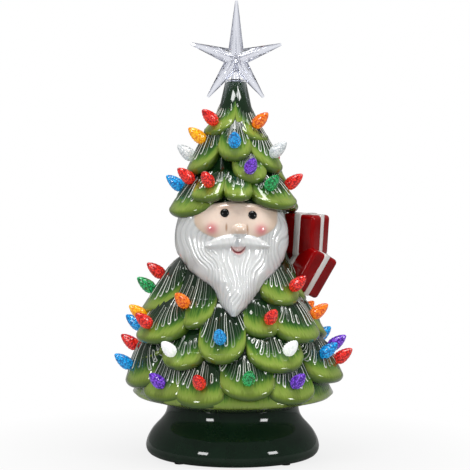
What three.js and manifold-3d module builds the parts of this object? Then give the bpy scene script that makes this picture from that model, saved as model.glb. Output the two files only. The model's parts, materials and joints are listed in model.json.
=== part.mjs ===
// Battery-lit ceramic tabletop tree: a lift-off tree shell with a bearded face, on a round base.
// Millimetres, +Z up. The origin is on the table, under the middle of the base. The front faces -Y.

import * as THREE from 'three';
import { mergeVertices } from 'three/addons/utils/BufferGeometryUtils.js';
import Module from 'manifold-3d';

const wasm = await Module();
wasm.setup();

// General clearances
const WELD = 1e-4;               // corners closer than this are one
const GAP = 0.3;                 // between two glazed or moulded faces that meet
const RUN_GAP = 0.4;             // round a piece that turns or slides
const OVERCUT = 1;               // a cut runs this far past the face that it opens

// Ceramic base
const FOOT_HEIGHT = 1.2;         // rubber pad under the foot ring
const FOOT_RADIUS = 4.2;
const FOOT_COUNT = 4;
const BASE_HEIGHT = 45;          // table to the rim that carries the tree
const BASE_FOOT_RADIUS = 66;
const BASE_BELLY_RADIUS = 72.8;
const BASE_BELLY_HEIGHT = 9;
const BASE_CREASE_RADIUS = 58.3;
const BASE_CREASE_HEIGHT = 34;
const BASE_NECK_RADIUS = 54.8;
const BASE_SWELL = 1.5;           // 1 makes the side between belly and crease straight
const BASE_SIDE_STEPS = 3;
const BASE_EDGE = 2.6;           // rounding of the foot ring's outer edge
const BASE_EDGE_SHARE = 0.75;    // of the way from the foot ring out to the belly
const BASE_NECK_FLARE = 0.8;
const BASE_NECK_FILLET = 4;
const BASE_WALL = 5;
const BASE_LEDGE = 4;            // inward ledge that the battery case's plate is screwed up against
const BASE_LEDGE_THICK = 3.5;
const SPIGOT_HEIGHT = 6;         // locating ring above the rim
const SPIGOT_WALL = 4;
const SPIGOT_GAP = 0.9;          // round the ring, inside the tree's mouth
const SPIGOT_TAPER = 0.6;
const DECK_HOLE_GAP = 1.5;       // round the foot of the lamp's column, which is fed through the deck
const BASE_SEGMENTS = 24;

// Tree shell
const TREE_WALL = 5;
const TREE_MOUTH_RADIUS = 51;    // opening over the base's locating ring
const TREE_FLANGE = 5;           // thickness of the underside
const TREE_SEGMENTS = 20;
const HOLLOW_SEGMENTS = 16;
const HOLLOW_RAMP = 6;           // height over which the underside thins to the wall
const STEM_HOLE_RADIUS = 6.4;
const STEM_HOLE_DEPTH = 26;
// Trunk of the cone under the branches: height above the tree's underside, radius
const TRUNK = [
  [0, 60], [3.5, 70], [6.2, 81], [9, 84], [14.7, 81], [49.7, 69], [84.7, 57], [124.7, 45], [144.7, 42],
  [159.7, 44], [169.7, 42], [194.7, 31], [236.7, 15.5], [267.7, 8.7],
];
const TREE_HEIGHT = TRUNK[TRUNK.length - 1][0];

// Branches: turn from the front in degrees, half width in degrees, root height, lip height, lip radius,
// how far the ends of the lip rise, and how early the back of the branch swells (1 is straight)
const RIM = 5;                   // the lip rolls under with this radius
const ROOT_DEPTH = 3;            // how far a branch is bedded in the trunk
const BRANCHES = {
  cap_left: [-62, 63, 266.7, 221.2, 27, 16, 2],
  cap_right: [62, 63, 266.7, 215.2, 29, 22, 2],
  cap_back: [180, 63, 266.7, 218.7, 28, 18, 2],
  peak_front: [-1, 32, 239.7, 201.7, 37, 15, 0.85],
  peak_left: [-72, 44, 239.7, 189.7, 41, 21, 0.85],
  peak_right: [66, 42, 239.7, 191.7, 41, 22, 0.85],
  peak_back_right: [140, 36, 239.7, 193.7, 40, 18, 0.85],
  peak_back_left: [-146, 36, 239.7, 194.7, 40, 18, 0.85],
  crown_front: [22, 27, 216.7, 183.7, 44, 14, 0.85],
  shoulder_left: [-82, 30, 122.7, 73.7, 77, 14, 0.85],
  shoulder_front_left: [-34, 20, 119.7, 66.2, 69, 16, 0.85],
  shoulder_front_right: [46, 23, 122.7, 84.2, 64, 12, 0.85],
  shoulder_right: [96, 26, 119.7, 82.7, 61, 12, 0.85],
  middle_left: [-60, 25, 94.7, 53.2, 87, 12, 0.6],
  middle_side_left: [-104, 20, 92.7, 48.7, 82, 12, 0.7],
  middle_front_left: [-8, 17, 89.7, 40.7, 82, 20, 0.85],
  middle_front_right: [22, 17, 92.7, 60.7, 70, 12, 0.85],
  middle_right: [54, 24, 92.7, 54.7, 80, 12, 0.7],
  lower_front_left: [-35, 17, 66.7, 34.2, 83, 12, 0.85],
  lower_front_right: [30, 21.6, 66.7, 33.2, 84, 16, 0.85],
  skirt_left: [-78, 24, 62.7, 14.2, 91, 8, 0.45],
  skirt_front_left: [-48, 17, 49.7, 7.2, 86, 6, 0.85],
  skirt_front: [-20, 15, 49.7, 6.2, 86, 6, 0.85],
  skirt_front_middle: [9, 17, 49.7, 12.7, 88, 12, 0.85],
  skirt_front_right: [38, 17, 49.7, 7.7, 88, 8, 0.85],
  skirt_right: [76, 25, 62.7, 20.2, 93, 8, 0.6],
};
// The brim over the face
const BRIM = {
  brim_left: [-58, 36, 196.7, 155.7, 58, 12, 0.85],
  brim_front_left: [-31, 20, 196.7, 168.7, 55, 8, 0.85],
  brim_front: [4, 17, 196.7, 170.2, 54, 7, 0.85],
  brim_right: [52, 34, 196.7, 162.7, 57, 12, 0.85],
};
// Rows round the back: first and last turn, count, half width, root, lip, lip radius, lip rise, swell
const BACK_ROWS = {
  crown_back: [110, 250, 3, 30, 216.7, 177.7, 46, 14, 0.85],
  brim_back: [116, 236, 3, 31, 196.7, 157.7, 56, 11, 0.85],
  nape: [128, 232, 3, 27, 159.7, 117.7, 55, 12, 0.85],
  shoulder_back: [138, 234, 3, 26, 122.7, 76.7, 71, 13, 0.85],
  middle_back: [104, 211, 3, 28, 92.7, 51.7, 80, 12, 0.85],
  lower_back: [78, 282, 5, 25, 66.7, 33.7, 84, 12, 0.85],
  skirt_back: [121, 242, 4, 21, 49.7, 8.7, 88, 8, 0.85],
};
const BRANCH_ROUND = 0.9;        // how full the section across a branch is
const BRANCH_ACROSS = 5;
const BACK_ACROSS = 4;
const BRANCH_ALONG = 2;
const RIM_STEPS = 2;
const RIM_TURN = THREE.MathUtils.degToRad(112);
const THIN_EDGE = 0.5;           // least thickness along the sides of a branch

// Face and beard
const HEAD_TOP = 171;            // above the tree's underside
const HEAD_LENGTH = 92.5;        // top of the head to the tip of the beard
const HEAD_OFFSET_X = -1.2;
const HEAD_BACK = -18;           // middle plane of the head, in Y
const HEAD_BACK_DEPTH = 12;      // what lies behind that plane, inside the trunk
const HEAD_FULLNESS = 0.85;      // 1 is a round section, less is squarer
const HEAD_SEGMENTS = 20;
const BALL_SEGMENTS = 8;         // nose and cheeks
const BALL_RINGS = 5;
// Share of the length from the top, half width, depth of the front face
const HEAD_OUTLINE = [
  [0, 4, 40], [0.03, 28, 46], [0.1, 40, 49], [0.2, 45, 51.5], [0.34, 46, 53], [0.48, 44.5, 56.5],
  [0.6, 40, 60], [0.7, 33.5, 63], [0.78, 25, 65.5], [0.86, 17, 67.5], [0.94, 10, 68.5], [1, 3, 67],
];
// The features' heights and the moustache's drop and thickness are shares of the head's length
const NOSE = { x: 1.8, down: 0.238, width: 17, height: 14, depth: 9, out: 63 };
const MOUSTACHE = {
  down: 0.395, drop: 0.065, thick: 0.087, span: 27, sweep: 7, root: 1.15, tip: 0.7, lap: 3, out: 56,
};
const CHEEK = { down: 0.27, middle: 1.8, x: 21, radius: 9, flat: 0.6, sunk: 4, out: 51.5 };

// Gift boxes behind the right shoulder
const UPPER_BOX = { size: [31, 30, 34], at: [59.5, 12, 140.5], turn: 30, lean: 3 };
const LOWER_BOX = { size: [38, 30, 37], at: [58.5, 10, 113], turn: 27, lean: 29 };
const BOX_ROUND = 3;
const RIBBON = { width: 5.5, proud: 0.5 };

// Push-in bulbs
const BULB_LENGTH = 17;
const BULB_RADIUS = 5.2;
// Share of the length, share of the radius, from the shoulder to the tip
const BULB_SIDE = [[0.3, 1], [0.73, 0.74], [1, 0]];
const BULB_PEG_RADIUS = 2.4;
const BULB_PEG_LENGTH = 11;
const BULB_RISE = 38;            // degrees above the horizontal
const BULB_SIDES = 6;
const BACK_BULB_SIDES = 5;
const HOLE_SIDES = 6;
const BULB_HOLE_EXTRA = 16;      // the hole runs on into the hollow
const BACK_BULB_FOOT = 0.85;     // share of the radius where it meets the branch

// Star
const STAR_HEIGHT = 286.7;       // centre of the star above the tree's underside
const STAR_TOP_RAY = 48;
const STAR_SIDE_RAY = 39.5;
const STAR_INNER = 10.5;
const STAR_DEPTH = 7;
const STAR_RAYS = 5;
const STAR_STEM_RADIUS = 3.9;
const STAR_STEM_NECK = 3.1;
const STAR_STEM_DEPTH = 12;      // stem below the top of the tree
const STAR_NECK_DROP = 6;        // the stem narrows this far below the star's centre
const STEM_SEGMENTS = 12;
const COLLAR_FLANGE_RADIUS = 7.2;
const COLLAR_FLANGE = 1.4;
const COLLAR_BEVEL = 0.6;
const COLLAR_DEPTH = 14;
const COLLAR_SEGMENTS = 16;

// Battery case, its door and what it holds
const CELL_RADIUS = 7.25;
const CELL_LENGTH = 50.5;
const CELL_NUB_RADIUS = 2.7;
const CELL_NUB = 1.2;
const CELL_COUNT = 3;
const CELL_PITCH = 15.1;
const CELL_SPACE = 0.5;
const CONTACT_PLATE = 0.6;
const CONTACT_HALF_HEIGHT = 4;
const SPRING_LENGTH = 5;
const SPRING_RADIUS = 3.6;
const SPRING_TIP = 0.6;          // share of that radius at the narrow end
const SPRING_WIRE = 0.45;
const SPRING_TURNS = 3;
const SPRING_TURN_STEPS = 5;
const CASE_WALL = 1.6;
const PLATE_RADIUS = 56;
const PLATE_THICK = 2.4;
const PLATE_RECESS = 1.3;        // the plate sits this far above the foot ring's lower face
const DOOR_THICK = 2;
const DOOR_RECESS = 0.1;         // the door sits this far above the plate's lower face
const DOOR_LAP = 1;              // the door is longer than the room it closes
const NAIL = { half: 6, length: 2.4, depth: 0.8 };
const HINGE_RADIUS = 2;
const HINGE_PIN_RADIUS = 1.1;
const HINGE_PIN_LENGTH = 2;
const HINGE_SEGMENTS = 12;
const EAR = { width: 4, half: 3, above: 1 };
const KNUCKLE_ROOM = 5;          // free height over the hinge when the door swings
const SWITCH_OFFSET = 9.3;       // side of the battery box to the side of the switch
const SWITCH_TRAVEL = 2.5;
const SWITCH_KNOB = [3.4, 3, 4.6];
const SWITCH_PROUD = 0.8;        // the knob stands this far below the plate
const SWITCH_BODY = [8.5, 15, 6];
const SWITCH_WALL = 1;
const CARRIAGE_LAP = 1;          // the carriage is wider than the knob all round
const CARRIAGE_THICK = 1.2;

// Lamp on its column
const COLUMN_RADIUS = 5.5;
const COLUMN_BORE = 3.2;
const COLUMN_HEIGHT = 120;       // from the roof of the battery case
const COLUMN_FOOT_RADIUS = 10.5;
const COLUMN_FOOT = 2;
const COLUMN_FLARE = 3;          // height of the flare over the foot
const COLUMN_FLARE_RADIUS = 7;
const COLUMN_HEAD = 4;           // height of the flare under the board
const COLUMN_SEGMENTS = 14;
const BOARD_RADIUS = 9;
const BOARD_THICK = 1.6;
const LAMP_RADIUS = 6;
const LAMP_HEIGHT = 11;
const LAMP_RIM = 0.8;
const LAMP_RIM_HEIGHT = 1.2;
const LAMP_DOME_STEPS = 3;
const WIRE_RADIUS = 0.8;
const WIRE_SEGMENTS = 8;

const SMALL_SEGMENTS = 12;
const Z = new THREE.Vector3(0, 0, 1);
const TREE_Z = BASE_HEIGHT + GAP;
const rad = THREE.MathUtils.degToRad;
const lerp = THREE.MathUtils.lerp;

// Closed mesh to solid and back

function merged(geometry) {
  const copy = geometry.index ? geometry.toNonIndexed() : geometry.clone();
  for (const name of Object.keys(copy.attributes)) {
    if (name !== 'position') copy.deleteAttribute(name);
  }
  return mergeVertices(copy, WELD);
}

function solid(geometry) {
  const whole = merged(geometry);
  return new wasm.Manifold(new wasm.Mesh({
    numProp: 3,
    vertProperties: new Float32Array(whole.attributes.position.array),
    triVerts: new Uint32Array(whole.index.array),
  }));
}

function surface(body) {
  const mesh = body.getMesh();
  const geometry = new THREE.BufferGeometry();
  const points = new Float32Array(mesh.numVert * 3);
  for (let i = 0; i < mesh.numVert; i += 1) {
    for (let k = 0; k < 3; k += 1) points[i * 3 + k] = mesh.vertProperties[i * mesh.numProp + k];
  }
  geometry.setAttribute('position', new THREE.BufferAttribute(points, 3));
  geometry.setIndex(new THREE.BufferAttribute(new Uint32Array(mesh.triVerts), 1));
  return geometry;
}

function join(bodies) {
  return bodies.reduce((all, body) => all.add(body));
}

// A vertical turned shape from [radius, height] pairs that close on the axis or on themselves
function turned(pairs, segments = SMALL_SEGMENTS) {
  const geometry = new THREE.LatheGeometry(pairs.map(([r, z]) => new THREE.Vector2(r, z)), segments);
  geometry.rotateX(Math.PI / 2);
  return geometry;
}

function rod(radius, low, high, segments = SMALL_SEGMENTS) {
  return turned([[0, low], [radius, low], [radius, high], [0, high]], segments);
}

function block(low, high) {
  const geometry = new THREE.BoxGeometry(high[0] - low[0], high[1] - low[1], high[2] - low[2]);
  geometry.translate((low[0] + high[0]) / 2, (low[1] + high[1]) / 2, (low[2] + high[2]) / 2);
  return geometry;
}

// Moves each point of a closed mesh out along its own normal
function grown(geometry, distance) {
  const whole = merged(geometry);
  whole.computeVertexNormals();
  const position = whole.attributes.position;
  const normal = whole.attributes.normal;
  for (let i = 0; i < position.count; i += 1) {
    position.setXYZ(
      i,
      position.getX(i) + normal.getX(i) * distance,
      position.getY(i) + normal.getY(i) * distance,
      position.getZ(i) + normal.getZ(i) * distance,
    );
  }
  return whole;
}

function reshaped(geometry, move) {
  const position = geometry.attributes.position;
  const point = new THREE.Vector3();
  for (let i = 0; i < position.count; i += 1) {
    point.fromBufferAttribute(position, i);
    position.setXYZ(i, ...move(point));
  }
  return geometry;
}

// Straight-line reading of a table of [place, value, ...] rows
function along(table, place, column = 1) {
  if (place <= table[0][0]) return table[0][column];
  for (let i = 1; i < table.length; i += 1) {
    if (place <= table[i][0]) {
      const share = (place - table[i - 1][0]) / (table[i][0] - table[i - 1][0]);
      return lerp(table[i - 1][column], table[i][column], share);
    }
  }
  return table[table.length - 1][column];
}

// Trunk and branches

const trunkRadius = (height) => along(TRUNK, height);

function trunk(extra = 0) {
  const side = TRUNK.map(([height, radius]) => [radius + extra, height]);
  side[0][1] -= extra;
  side[side.length - 1][1] += extra;
  return turned([[0, side[0][1]], ...side, [0, side[side.length - 1][1]]], TREE_SEGMENTS);
}

// A point on the back of a branch: c runs from -1 to 1 across it, s from 0 at its root to 1 at its rim
function branchPoint([turn, half, root, lip, lipRadius, rise, swell], c, s) {
  const width = Math.sqrt(Math.max(0, 1 - c * c));
  const rim = lip + rise * (1 - width) + RIM;
  const height = lerp(root, rim, s);
  const middle = lerp(root, lip + RIM, s);
  const ridge = lerp(trunkRadius(root) - 1, lipRadius, s ** swell);
  const out = (ridge - trunkRadius(middle)) * width ** BRANCH_ROUND;
  return { turn: rad(turn + half * c), height, radius: trunkRadius(height) + out, out };
}

// One branch: a bulging tongue whose lip rolls under, bedded in the trunk
function branch(sizes, extra = 0, columns = BRANCH_ACROSS) {
  const rows = BRANCH_ALONG + RIM_STEPS + 1;
  const geometry = new THREE.BoxGeometry(2, rows, 1, columns, rows, 1);
  return reshaped(geometry, (point) => {
    const c = Math.sin(point.x * Math.PI / 2);
    const row = Math.round(rows / 2 - point.y);
    const outside = point.z > 0;
    const place = branchPoint(sizes, c, Math.min(row / BRANCH_ALONG, 1));
    const roll = RIM_TURN * THREE.MathUtils.clamp((row - BRANCH_ALONG) / RIM_STEPS, 0, 1);
    const depth = Math.min(RIM, Math.max(place.out, THIN_EDGE));
    const height = place.height - (RIM + extra) * Math.sin(roll);
    const inner = trunkRadius(height) - ROOT_DEPTH;
    let radius = place.radius + extra - depth * (1 - Math.cos(roll));
    if (row === rows) radius = inner + ROOT_DEPTH / 2;
    if (!outside) radius = inner - ROOT_DEPTH * (row / rows);
    const turn = place.turn + extra * c / place.radius;
    return [radius * Math.sin(turn), -radius * Math.cos(turn), height];
  });
}

function backRow([first, last, count, ...sizes]) {
  return Array.from({ length: count }, (_, i) => [lerp(first, last, i / (count - 1)), ...sizes]);
}

const backRows = Object.values(BACK_ROWS).map(backRow);
const backBranches = backRows.flat();

// Hollow inside the tree, open at the bottom, with the hole for the star's collar
function treeHollow() {
  const top = TREE_HEIGHT - STEM_HOLE_DEPTH;
  const wall = TRUNK.filter(([height]) => height > TREE_FLANGE + HOLLOW_RAMP && height < top);
  return turned([
    [0, -OVERCUT], [TREE_MOUTH_RADIUS, -OVERCUT], [TREE_MOUTH_RADIUS, TREE_FLANGE],
    ...wall.map(([height, radius]) => [radius - TREE_WALL, height]),
    [STEM_HOLE_RADIUS, top], [STEM_HOLE_RADIUS, TREE_HEIGHT + OVERCUT], [0, TREE_HEIGHT + OVERCUT],
  ], HOLLOW_SEGMENTS);
}

// Head: an outline swept round its middle plane, with nose, cheeks and moustache

function ball(radius, scale, at) {
  const geometry = new THREE.SphereGeometry(radius, BALL_SEGMENTS, BALL_RINGS);
  geometry.scale(...scale);
  geometry.translate(...at);
  return geometry;
}

const headHeight = (share) => HEAD_TOP - share * HEAD_LENGTH;

function skull(extra = 0) {
  const rows = HEAD_OUTLINE.length - 1;
  const geometry = new THREE.SphereGeometry(1, HEAD_SEGMENTS, HEAD_OUTLINE.length);
  geometry.rotateX(Math.PI / 2);
  const shaped = reshaped(geometry, (point) => {
    const ring = Math.acos(THREE.MathUtils.clamp(point.z, -1, 1)) / Math.PI;
    const share = THREE.MathUtils.clamp((ring * (rows + 1) - 0.5) / rows, 0, 1);
    const height = headHeight(share);
    const spread = Math.hypot(point.x, point.y);
    if (spread < WELD) return [HEAD_OFFSET_X, HEAD_BACK, height];
    const across = along(HEAD_OUTLINE, share) * point.x / spread;
    const ahead = point.y / spread;
    const depth = ahead < 0 ? along(HEAD_OUTLINE, share, 2) + HEAD_BACK : HEAD_BACK_DEPTH;
    return [
      HEAD_OFFSET_X + across,
      HEAD_BACK + depth * Math.sign(ahead) * Math.abs(ahead) ** HEAD_FULLNESS,
      height,
    ];
  });
  return extra ? grown(shaped, extra) : shaped;
}

function moustacheHalf(side, extra) {
  const { down, drop, thick, span, sweep, root, tip, lap, out } = MOUSTACHE;
  const geometry = new THREE.SphereGeometry(1, 8, 6);
  return reshaped(geometry, (point) => {
    const reach = (point.x + 1) / 2;
    const size = (thick * HEAD_LENGTH / 2 + extra) * lerp(root, tip, reach);
    return [
      NOSE.x + side * (point.x * (span / 2 + extra) + span / 2 - lap),
      sweep * reach * reach - out + point.y * size * side,
      headHeight(down + drop * reach * reach) + point.z * size,
    ];
  });
}

function headShape(extra = 0) {
  const nose = ball(
    1,
    [NOSE.width / 2 + extra, NOSE.depth + extra, NOSE.height / 2 + extra],
    [NOSE.x, NOSE.depth - NOSE.out, headHeight(NOSE.down)],
  );
  const cheeks = [-1, 1].map((side) => ball(
    CHEEK.radius + extra,
    [1, CHEEK.flat, 1],
    [CHEEK.middle + side * CHEEK.x, CHEEK.sunk - CHEEK.out, headHeight(CHEEK.down)],
  ));
  const moustache = [-1, 1].map((side) => moustacheHalf(side, extra));
  return join([skull(extra), nose, ...cheeks, ...moustache].map(solid));
}

// Gift boxes with crossed ribbons

function roundedBox([width, depth, height], round) {
  const outline = new THREE.Shape();
  const w = width / 2 - round;
  const d = depth / 2 - round;
  outline.moveTo(-w, -d - round);
  outline.lineTo(w, -d - round);
  outline.quadraticCurveTo(w + round, -d - round, w + round, -d);
  outline.lineTo(w + round, d);
  outline.quadraticCurveTo(w + round, d + round, w, d + round);
  outline.lineTo(-w, d + round);
  outline.quadraticCurveTo(-w - round, d + round, -w - round, d);
  outline.lineTo(-w - round, -d);
  outline.quadraticCurveTo(-w - round, -d - round, -w, -d - round);
  const geometry = new THREE.ExtrudeGeometry(outline, {
    depth: height - 2 * round,
    bevelEnabled: true,
    bevelThickness: round,
    bevelSize: round,
    bevelOffset: -round,
    bevelSegments: 1,
    curveSegments: 1,
  });
  geometry.translate(0, 0, round - height / 2);
  return geometry;
}

function giftBox({ size, at, turn, lean }, extra = 0) {
  const [width, depth, height] = size.map((length) => length + 2 * extra);
  const proud = 2 * RIBBON.proud;
  const band = RIBBON.width + 2 * extra;
  const shapes = [
    roundedBox([width, depth, height], BOX_ROUND),
    new THREE.BoxGeometry(band, depth + proud, height + proud),
    new THREE.BoxGeometry(width + proud, band, height + proud),
  ];
  const place = new THREE.Matrix4().makeTranslation(...at)
    .multiply(new THREE.Matrix4().makeRotationY(rad(lean)))
    .multiply(new THREE.Matrix4().makeRotationZ(rad(turn)));
  return join(shapes.map((shape) => solid(shape.applyMatrix4(place))));
}

// Bulbs

const RED = 0xd8121b;
const ORANGE = 0xff6a00;
const AMBER = 0xffa800;
const BLUE = 0x0a8fe8;
const GREEN = 0x12a541;
const PURPLE = 0x6a1fc4;
const CLEAR = 0xf6f6f6;

// Branch, place across it, place along it, colour
const FRONT_BULBS = [
  ['cap_left', 0.15, 0.82, RED], ['cap_right', -0.15, 0.76, ORANGE], ['peak_left', 0.1, 0.47, AMBER],
  ['peak_front', 0, 0.72, BLUE], ['peak_left', -0.6, 0.88, CLEAR], ['peak_right', -0.15, 0.75, CLEAR],
  ['crown_front', -0.2, 0.78, PURPLE], ['brim_left', -0.1, 0.31, RED], ['brim_left', -0.7, 0.55, BLUE],
  ['brim_front_left', 0.24, 0.57, RED], ['brim_right', -0.44, 0.55, GREEN], ['brim_right', 0.73, 0.62, RED],
  ['shoulder_left', -0.24, 0.4, RED], ['shoulder_left', -0.1, 0.66, GREEN],
  ['middle_left', -0.6, 0.66, AMBER], ['middle_left', 0.1, 0.72, RED],
  ['shoulder_front_left', -0.2, 0.7, ORANGE], ['middle_side_left', 0.3, 0.85, BLUE],
  ['skirt_left', -0.5, 0.42, RED], ['skirt_left', 0.05, 0.72, BLUE], ['lower_front_left', -0.24, 0.7, CLEAR],
  ['middle_front_left', 0, 0.68, BLUE], ['middle_front_right', 0.2, 0.68, RED],
  ['middle_right', 0.7, 0.6, ORANGE], ['shoulder_front_right', 0.34, 0.72, RED],
  ['lower_front_right', 0.2, 0.6, CLEAR], ['skirt_right', 0.42, 0.44, PURPLE],
  ['skirt_right', -0.5, 0.5, BLUE], ['skirt_right', 0.1, 0.68, RED], ['skirt_front_left', 0.2, 0.75, PURPLE],
  ['skirt_front', 0.1, 0.68, RED], ['skirt_front_middle', -0.05, 0.68, GREEN],
  ['skirt_front_right', -0.1, 0.7, PURPLE],
];
const BACK_BULB_ALONG = 0.72;
const BACK_BULB_ACROSS = 0.72;   // the bulbs at the ends of a row sit towards its middle

const bulbSide = BULB_SIDE.map(([share, part]) => [BULB_RADIUS * part, BULB_LENGTH * share]);

// The peg goes in the hole, and the bulb's shoulder is a cone that clears the curve of the branch
function bulb() {
  return turned([
    [0, -BULB_PEG_LENGTH], [BULB_PEG_RADIUS, -BULB_PEG_LENGTH], [BULB_PEG_RADIUS, 0], ...bulbSide,
  ], BULB_SIDES);
}

// Round the back the bulbs are cemented in, so they are part of the shell
function backBulb() {
  const foot = BULB_RADIUS * BACK_BULB_FOOT;
  return turned([[0, -ROOT_DEPTH], [foot, -ROOT_DEPTH], ...bulbSide], BACK_BULB_SIDES);
}

function bulbHole() {
  return rod(BULB_PEG_RADIUS + GAP, -BULB_PEG_LENGTH - BULB_HOLE_EXTRA, BULB_LENGTH / 2, HOLE_SIDES);
}

function bulbPlace(sizes, c, s) {
  const place = branchPoint(sizes, c, s);
  const pose = new THREE.Object3D();
  pose.position.set(place.radius * Math.sin(place.turn), -place.radius * Math.cos(place.turn), place.height);
  const axis = new THREE.Vector3(
    Math.sin(place.turn) * Math.cos(rad(BULB_RISE)),
    -Math.cos(place.turn) * Math.cos(rad(BULB_RISE)),
    Math.sin(rad(BULB_RISE)),
  );
  pose.quaternion.setFromUnitVectors(Z, axis);
  pose.position.addScaledVector(axis, GAP);
  pose.updateMatrix();
  return pose.matrix;
}

const allBranches = { ...BRANCHES, ...BRIM };
const frontPlaces = FRONT_BULBS.map(([name, c, s]) => bulbPlace(allBranches[name], c, s));
const backPlaces = backRows.flatMap((row) => row.map((sizes, i) => {
  const inward = (i === 0) - (i === row.length - 1);
  return bulbPlace(sizes, BACK_BULB_ACROSS * inward, BACK_BULB_ALONG);
}));

// Ceramic pieces cut to each other

const frontBranches = Object.values(BRANCHES).map((sizes) => solid(branch(sizes)));
const brim = join(Object.values(BRIM).map((sizes) => solid(branch(sizes))));
const brimGrown = join(Object.values(BRIM).map((sizes) => solid(branch(sizes, GAP))));
const head = headShape();
const headGrown = headShape(GAP);
const upperBox = giftBox(UPPER_BOX);
const lowerBox = giftBox(LOWER_BOX);
const upperGrown = giftBox(UPPER_BOX, GAP);
const lowerGrown = giftBox(LOWER_BOX, GAP);
const trunkGrown = solid(trunk(GAP));
const bulbHoles = join(frontPlaces.map((place) => solid(bulbHole().applyMatrix4(place))));
const backBulbs = join(backPlaces.map((place) => solid(backBulb().applyMatrix4(place))));

function treeShell() {
  const back = backBranches.map((sizes) => solid(branch(sizes, 0, BACK_ACROSS)));
  const cleared = join([...frontBranches, ...back]).subtract(join([headGrown, upperGrown, lowerGrown]));
  const reach = TREE_HEIGHT;
  const below = solid(block([-reach, -reach, -reach], [reach, reach, 0]));
  return join([solid(trunk()), cleared, brim, backBulbs])
    .subtract(solid(treeHollow()))
    .subtract(below)
    .subtract(bulbHoles);
}

function beardedHead() {
  return head.subtract(trunkGrown).subtract(brimGrown).subtract(bulbHoles);
}

function lowerGift() {
  return lowerBox.subtract(trunkGrown).subtract(headGrown).subtract(brimGrown).subtract(bulbHoles);
}

function upperGift() {
  return upperBox.subtract(trunkGrown).subtract(headGrown).subtract(brimGrown).subtract(lowerGrown);
}

// Star: five ridged rays and a stem in one casting

function star() {
  const corners = Array.from({ length: 2 * STAR_RAYS }, (_, i) => {
    const reach = i % 2 ? STAR_INNER : (i ? STAR_SIDE_RAY : STAR_TOP_RAY);
    const turn = i * Math.PI / STAR_RAYS;
    return [reach * Math.sin(turn), 0, reach * Math.cos(turn)];
  });
  const positions = corners.flatMap((a, i) => {
    const b = corners[(i + 1) % corners.length];
    return [0, -STAR_DEPTH, 0, ...b, ...a, 0, STAR_DEPTH, 0, ...a, ...b];
  });
  const rays = new THREE.BufferGeometry();
  rays.setAttribute('position', new THREE.Float32BufferAttribute(positions, 3));
  rays.translate(0, 0, STAR_HEIGHT);
  const low = TREE_HEIGHT - STAR_STEM_DEPTH;
  const stem = turned([
    [0, low], [STAR_STEM_RADIUS, low], [STAR_STEM_RADIUS, TREE_HEIGHT + GAP + COLLAR_FLANGE],
    [STAR_STEM_NECK, STAR_HEIGHT - STAR_NECK_DROP], [0, STAR_HEIGHT],
  ], STEM_SEGMENTS);
  return solid(stem).add(solid(rays));
}

function starCollar() {
  const bore = STAR_STEM_RADIUS + RUN_GAP;
  const sleeve = STEM_HOLE_RADIUS - RUN_GAP;
  const seat = TREE_HEIGHT + GAP;
  const low = TREE_HEIGHT - COLLAR_DEPTH;
  return turned([
    [bore, low], [sleeve, low], [sleeve, seat], [COLLAR_FLANGE_RADIUS, seat],
    [COLLAR_FLANGE_RADIUS - COLLAR_BEVEL, seat + COLLAR_FLANGE], [bore, seat + COLLAR_FLANGE], [bore, low],
  ], COLLAR_SEGMENTS);
}

// Base

const RING_Z = FOOT_HEIGHT + GAP;
const PLATE_LOW = RING_Z + PLATE_RECESS;
const PLATE_TOP = PLATE_LOW + PLATE_THICK;
const REBATE_RADIUS = PLATE_RADIUS + GAP;
const REBATE_TOP = PLATE_TOP + GAP;
const BASE_INNER_RADIUS = REBATE_RADIUS - BASE_LEDGE;
const SPIGOT_RADIUS = TREE_MOUTH_RADIUS * Math.cos(Math.PI / HOLLOW_SEGMENTS) - SPIGOT_GAP;
const DECK_HOLE_RADIUS = COLUMN_FOOT_RADIUS + DECK_HOLE_GAP;

function baseShell() {
  const deckLow = BASE_HEIGHT - BASE_WALL;
  const ledgeTop = REBATE_TOP + BASE_LEDGE_THICK;
  const spigotTop = BASE_HEIGHT + SPIGOT_HEIGHT;
  const side = Array.from({ length: BASE_SIDE_STEPS + 1 }, (_, i) => {
    const share = i / BASE_SIDE_STEPS;
    return [
      lerp(BASE_BELLY_RADIUS, BASE_CREASE_RADIUS, share ** BASE_SWELL),
      lerp(BASE_BELLY_HEIGHT, BASE_CREASE_HEIGHT, share),
    ];
  });
  const inner = side.slice(1).reverse().map(([radius, height]) => [radius - BASE_WALL, height - OVERCUT]);
  return turned([
    [REBATE_RADIUS, RING_Z], [BASE_FOOT_RADIUS, RING_Z],
    [lerp(BASE_FOOT_RADIUS, BASE_BELLY_RADIUS, BASE_EDGE_SHARE), RING_Z + BASE_EDGE],
    ...side,
    [BASE_NECK_RADIUS + BASE_NECK_FLARE, BASE_CREASE_HEIGHT + BASE_NECK_FILLET],
    [BASE_NECK_RADIUS, BASE_HEIGHT], [SPIGOT_RADIUS, BASE_HEIGHT], [SPIGOT_RADIUS - SPIGOT_TAPER, spigotTop],
    [SPIGOT_RADIUS - SPIGOT_WALL, spigotTop], [SPIGOT_RADIUS - SPIGOT_WALL, BASE_HEIGHT],
    [DECK_HOLE_RADIUS, BASE_HEIGHT], [DECK_HOLE_RADIUS, deckLow],
    [BASE_NECK_RADIUS - BASE_WALL, deckLow], ...inner,
    [BASE_BELLY_RADIUS - BASE_WALL, ledgeTop], [BASE_INNER_RADIUS, ledgeTop], [BASE_INNER_RADIUS, REBATE_TOP],
    [REBATE_RADIUS, REBATE_TOP], [REBATE_RADIUS, RING_Z],
  ], BASE_SEGMENTS);
}

// Battery case: a round plate with a box on it, a door opening, hinge ears and a switch slot

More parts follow.
